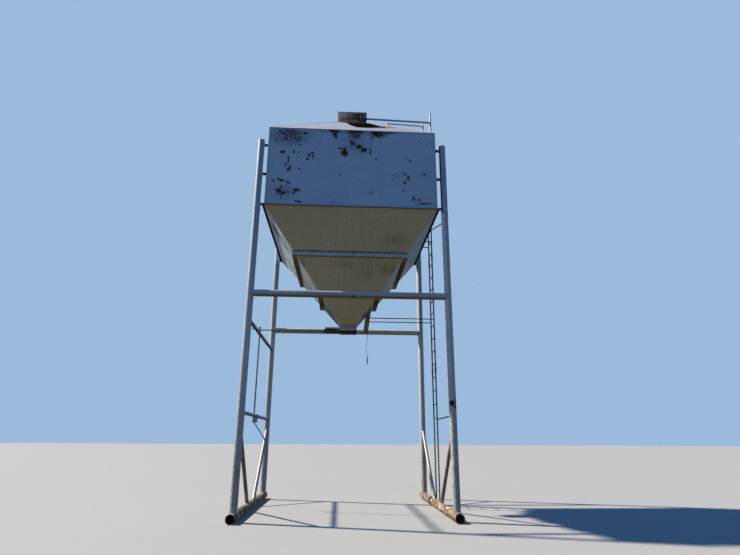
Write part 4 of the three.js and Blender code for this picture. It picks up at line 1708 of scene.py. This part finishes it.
@dataclass(frozen=True)
class HatchRails:
    """The posts beside the bin and the rails that run from them to the hatch."""

    # Each post's x and y, its head, and its rail's height there
    posts: tuple[tuple[float, float, float, float], ...] = (
        (2.030, -0.300, 9.525, 9.248),
        (1.875, -0.040, 9.445, 9.310),
    )
    tab_levels: tuple[float, float] = (7.480, 7.780)
    tab_half: float = 0.02
    wall: float = 1.829
    post_radius: float = 0.0212

    def build(self) -> None:
        """Dress the rails and add their caps and welds."""
        dress(["hatch_rail_front", "hatch_rail_back"], Finish.PIPE)
        fittings = Shape()
        rim = self.post_radius
        for x, y, top, rail_z in self.posts:
            cap = [(rim - 0.001, -0.012), (rim + 0.002, -0.008), (0.018, -0.001)]
            fittings.turned(cap, Vector((x, y, top)), UP, 20)
            fittings.bead(circle(Vector((x - 0.023, y, rail_z)), RIGHT, 0.024, 20), 0.004, True)
            for z in self.tab_levels:
                for side in (-1, 1):
                    seat = Vector((self.wall + 0.004, y, z + side * 0.004))
                    ends = [seat - BACK * self.tab_half, seat + BACK * self.tab_half]
                    fittings.bead(ends, 0.0035)
        fittings.piece("hatch_rail_fittings", Finish.PIPE, "pipe_paint")


@dataclass(frozen=True)
class Ladder:
    """The fixed ladder on the right, its stays, the rods and the strut that steadies it."""

    x: float = 2.033
    ys: tuple[float, float] = (0.107, 0.514)
    rail_radius: float = 0.0167
    rung_radius: float = 0.011
    rung_first: float = 0.340
    rung_pitch: float = 0.3048
    rung_count: int = 28
    splice_rungs: tuple[int, int] = (9, 18)
    sleeve_half: float = 0.075
    top: float = 8.760
    rod_z: float = 4.128
    eye: Point = (0.452, 0.084, 3.744)
    strut_weld: tuple[Point, Point] = ((0.412, 0.079, 4.190), (0.545, 0.079, 4.367))

    def build(self) -> None:
        """Dress the ladder and add its welds, splice sleeves and caps."""
        dress(["ladder_lower", "ladder_middle", "ladder_upper"], Finish.LADDER)
        dress(["ladder_rod_front", "ladder_rod_back"], Finish.GATE)
        dress(["stay_upper", "stay_lower"], Finish.LADDER)
        dress(["hanger_strut"], Finish.STRUT, 0.0015)
        welds, fittings = Shape(), Shape()
        radius = self.rail_radius
        for k in range(self.rung_count):
            z = self.rung_first + k * self.rung_pitch
            for y, way in zip(self.ys, (1, -1)):
                seat = Vector((self.x, y + way * (radius - 0.001), z))
                welds.tube(circle(seat, BACK, self.rung_radius + 0.001, 12), 0.004, 5, True)
        half = self.sleeve_half
        inner, outer = radius + 0.0005, radius + 0.004
        sleeve = [(inner, -half), (outer, 0.003 - half), (outer, half - 0.003), (inner, half)]
        cap = [(radius - 0.001, -0.004), (radius + 0.001, -0.001), (0.01, 0.003)]
        for y in self.ys:
            for rung in self.splice_rungs:
                z = self.rung_first + (rung - 0.5) * self.rung_pitch
                fittings.turned(sleeve, Vector((self.x, y, z)), UP, 24)
                for lift in (-0.04, 0.04):
                    seat = Vector((self.x - radius - 0.003, y, z + lift))
                    fittings.bolt(seat, -RIGHT, 0.013, False)
            fittings.turned(cap, Vector((self.x, y, self.top)), UP, 20)
            ring = circle(Vector((self.x - radius, y, self.rod_z)), RIGHT, 0.0115, 14)
            welds.bead(ring, 0.004, True)
        welds.piece("ladder_welds", Finish.LADDER, "pipe_paint")
        fittings.piece("ladder_fittings", Finish.LADDER, "pipe_paint")
        self._strut_fittings()

    def _strut_fittings(self) -> None:
        """Weld the strut to the hopper and ring the eye that the pull wire hangs from."""
        fittings = Shape()
        fittings.bead([Vector(end) for end in self.strut_weld], 0.005)
        fittings.tube(upright_ring(self.eye, 0.011, 0.011, 18), 0.0025, 8, True)
        fittings.piece("strut_fittings", Finish.STRUT, "rusty_lid")


@dataclass(frozen=True)
class Gate:
    """The slide gate under the outlet and the lever that works it from below."""

    foot: float = 3.738
    head: float = 3.832
    slot_foot: float = 3.777
    tail: float = -0.530
    rod_z: float = 3.786
    bolt_xs: tuple[float, float, float] = (-0.12, 0.0, 0.12)
    guide_bolt_y: float = 0.1835
    foot_bolt_y: float = 0.174
    rod_nut: float = 0.036
    lever_x: float = -2.033
    lever_y: float = 0.060
    pivot_z: float = 1.762
    cheek: float = 0.0303
    collar_z: float = 1.832
    handle_end: tuple[float, float] = (-1.735, 1.335)
    handle_cap: float = 0.121
    side_pipe: tuple[float, float] = (-1.973, 1.869)
    strap_radius: float = 0.0395
    strap_offsets: tuple[float, float] = (-0.045, 0.045)

    def build(self) -> None:
        """Dress the gate and lever and add bolts, washers, straps and collars."""
        dress(["gate_frame"], Finish.NECK, 0.001)
        dress(["slide_gate"], Finish.GATE, 0.001)
        dress(["gate_lever"], Finish.LEVER, 0.001)
        dress(["lever_bracket"], Finish.PIPE_ALONG, 0.001)
        frame_bolts = Shape()
        for x in self.bolt_xs:
            for side in (-1, 1):
                above = Vector((x, side * self.guide_bolt_y, self.head))
                frame_bolts.bolt(above, UP, 0.009, False)
                frame_bolts.bolt(Vector((x, side * self.foot_bolt_y, self.foot)), -UP, 0.016)
        frame_bolts.piece("gate_frame_bolts", Finish.GATE, "dark_steel")
        self._gate_fittings()
        self._bracket_fittings()
        self._lever_fittings()

    def _gate_fittings(self) -> None:
        """Nut the pull rod to the gate's upstand, weld that, and put a washer on the rod's pin."""
        fittings = Shape()
        x, y = self.tail - 0.02, self.lever_y - 0.026
        fittings.bolt(Vector((x, y, self.rod_z)), -RIGHT, self.rod_nut)
        fittings.bolt(Vector((x + 0.010, y, self.rod_z)), RIGHT, self.rod_nut)
        edge = Vector((x + 0.013, y - 0.038, self.slot_foot + 0.0095))
        fittings.bead([edge, edge + BACK * 0.076], 0.003)
        pin_end = Vector((self.lever_x, self.lever_y + 0.010, self.rod_z))
        fittings.turned([(0.0145, 0), (0.0145, 0.003)], pin_end, BACK, 20)
        fittings.piece("gate_rod_fittings", Finish.GATE, "dark_steel", "gate")

    def _bracket_fittings(self) -> None:
        """Put washers and welds on the lever's bracket, and two straps round the side pipe."""
        fixed = Shape()
        pivot = Vector((self.lever_x, self.lever_y, self.pivot_z))
        for side in (-1, 1):
            seat = pivot + BACK * (side * self.cheek)
            fixed.turned([(0.015, 0), (0.015, 0.003)], seat, BACK * side, 20)
            head, foot = (seat + Vector((0.055, side * 0.001, z)) for z in (0.034, -0.015))
            fixed.bead([head, foot], 0.003)
        pipe_x, pipe_z = self.side_pipe
        for offset in self.strap_offsets:
            middle = Vector((pipe_x, self.lever_y + offset, pipe_z))
            fixed.tube(circle(middle, BACK, self.strap_radius, 32), 0.004, 8, True)
        fixed.piece("lever_bracket_fittings", Finish.LEVER, "dark_steel")

    def _lever_fittings(self) -> None:
        """Put a collar on the lever above its pivot, and a ferrule on the end of its handle."""
        moving = Shape()
        collar = [(0.0172, 0), (0.0205, 0.004), (0.0205, 0.036), (0.0172, 0.04)]
        moving.turned(collar, Vector((self.lever_x, self.lever_y, self.collar_z)), UP, 20)
        end_x, end_z = self.handle_end
        end = Vector((end_x, self.lever_y, end_z))
        start = Vector((self.lever_x + 0.008, self.lever_y, self.pivot_z - 0.012))
        way = (end - start).normalized()
        long = self.handle_cap
        ferrule = [(0.0112, 0), (0.0135, 0.004), (0.0135, long - 0.003), (0.0112, long)]
        moving.turned(ferrule, end - way * long, way, 18)
        moving.piece("lever_fittings", Finish.LEVER, "dark_steel", "lever")


def main() -> None:
    """Build the camera, the cord, the studio and every sub-assembly in turn."""
    logging.basicConfig(level=logging.INFO, format="%(name)s %(message)s")
    parts = (Viewpoint, PullWire, Studio, Stand, Body, Roof, HatchRails, Ladder, Gate)
    for part in parts:
        LOG.info("building %s", part.__name__)
        part().build()


if __name__ == "__main__":
    main()
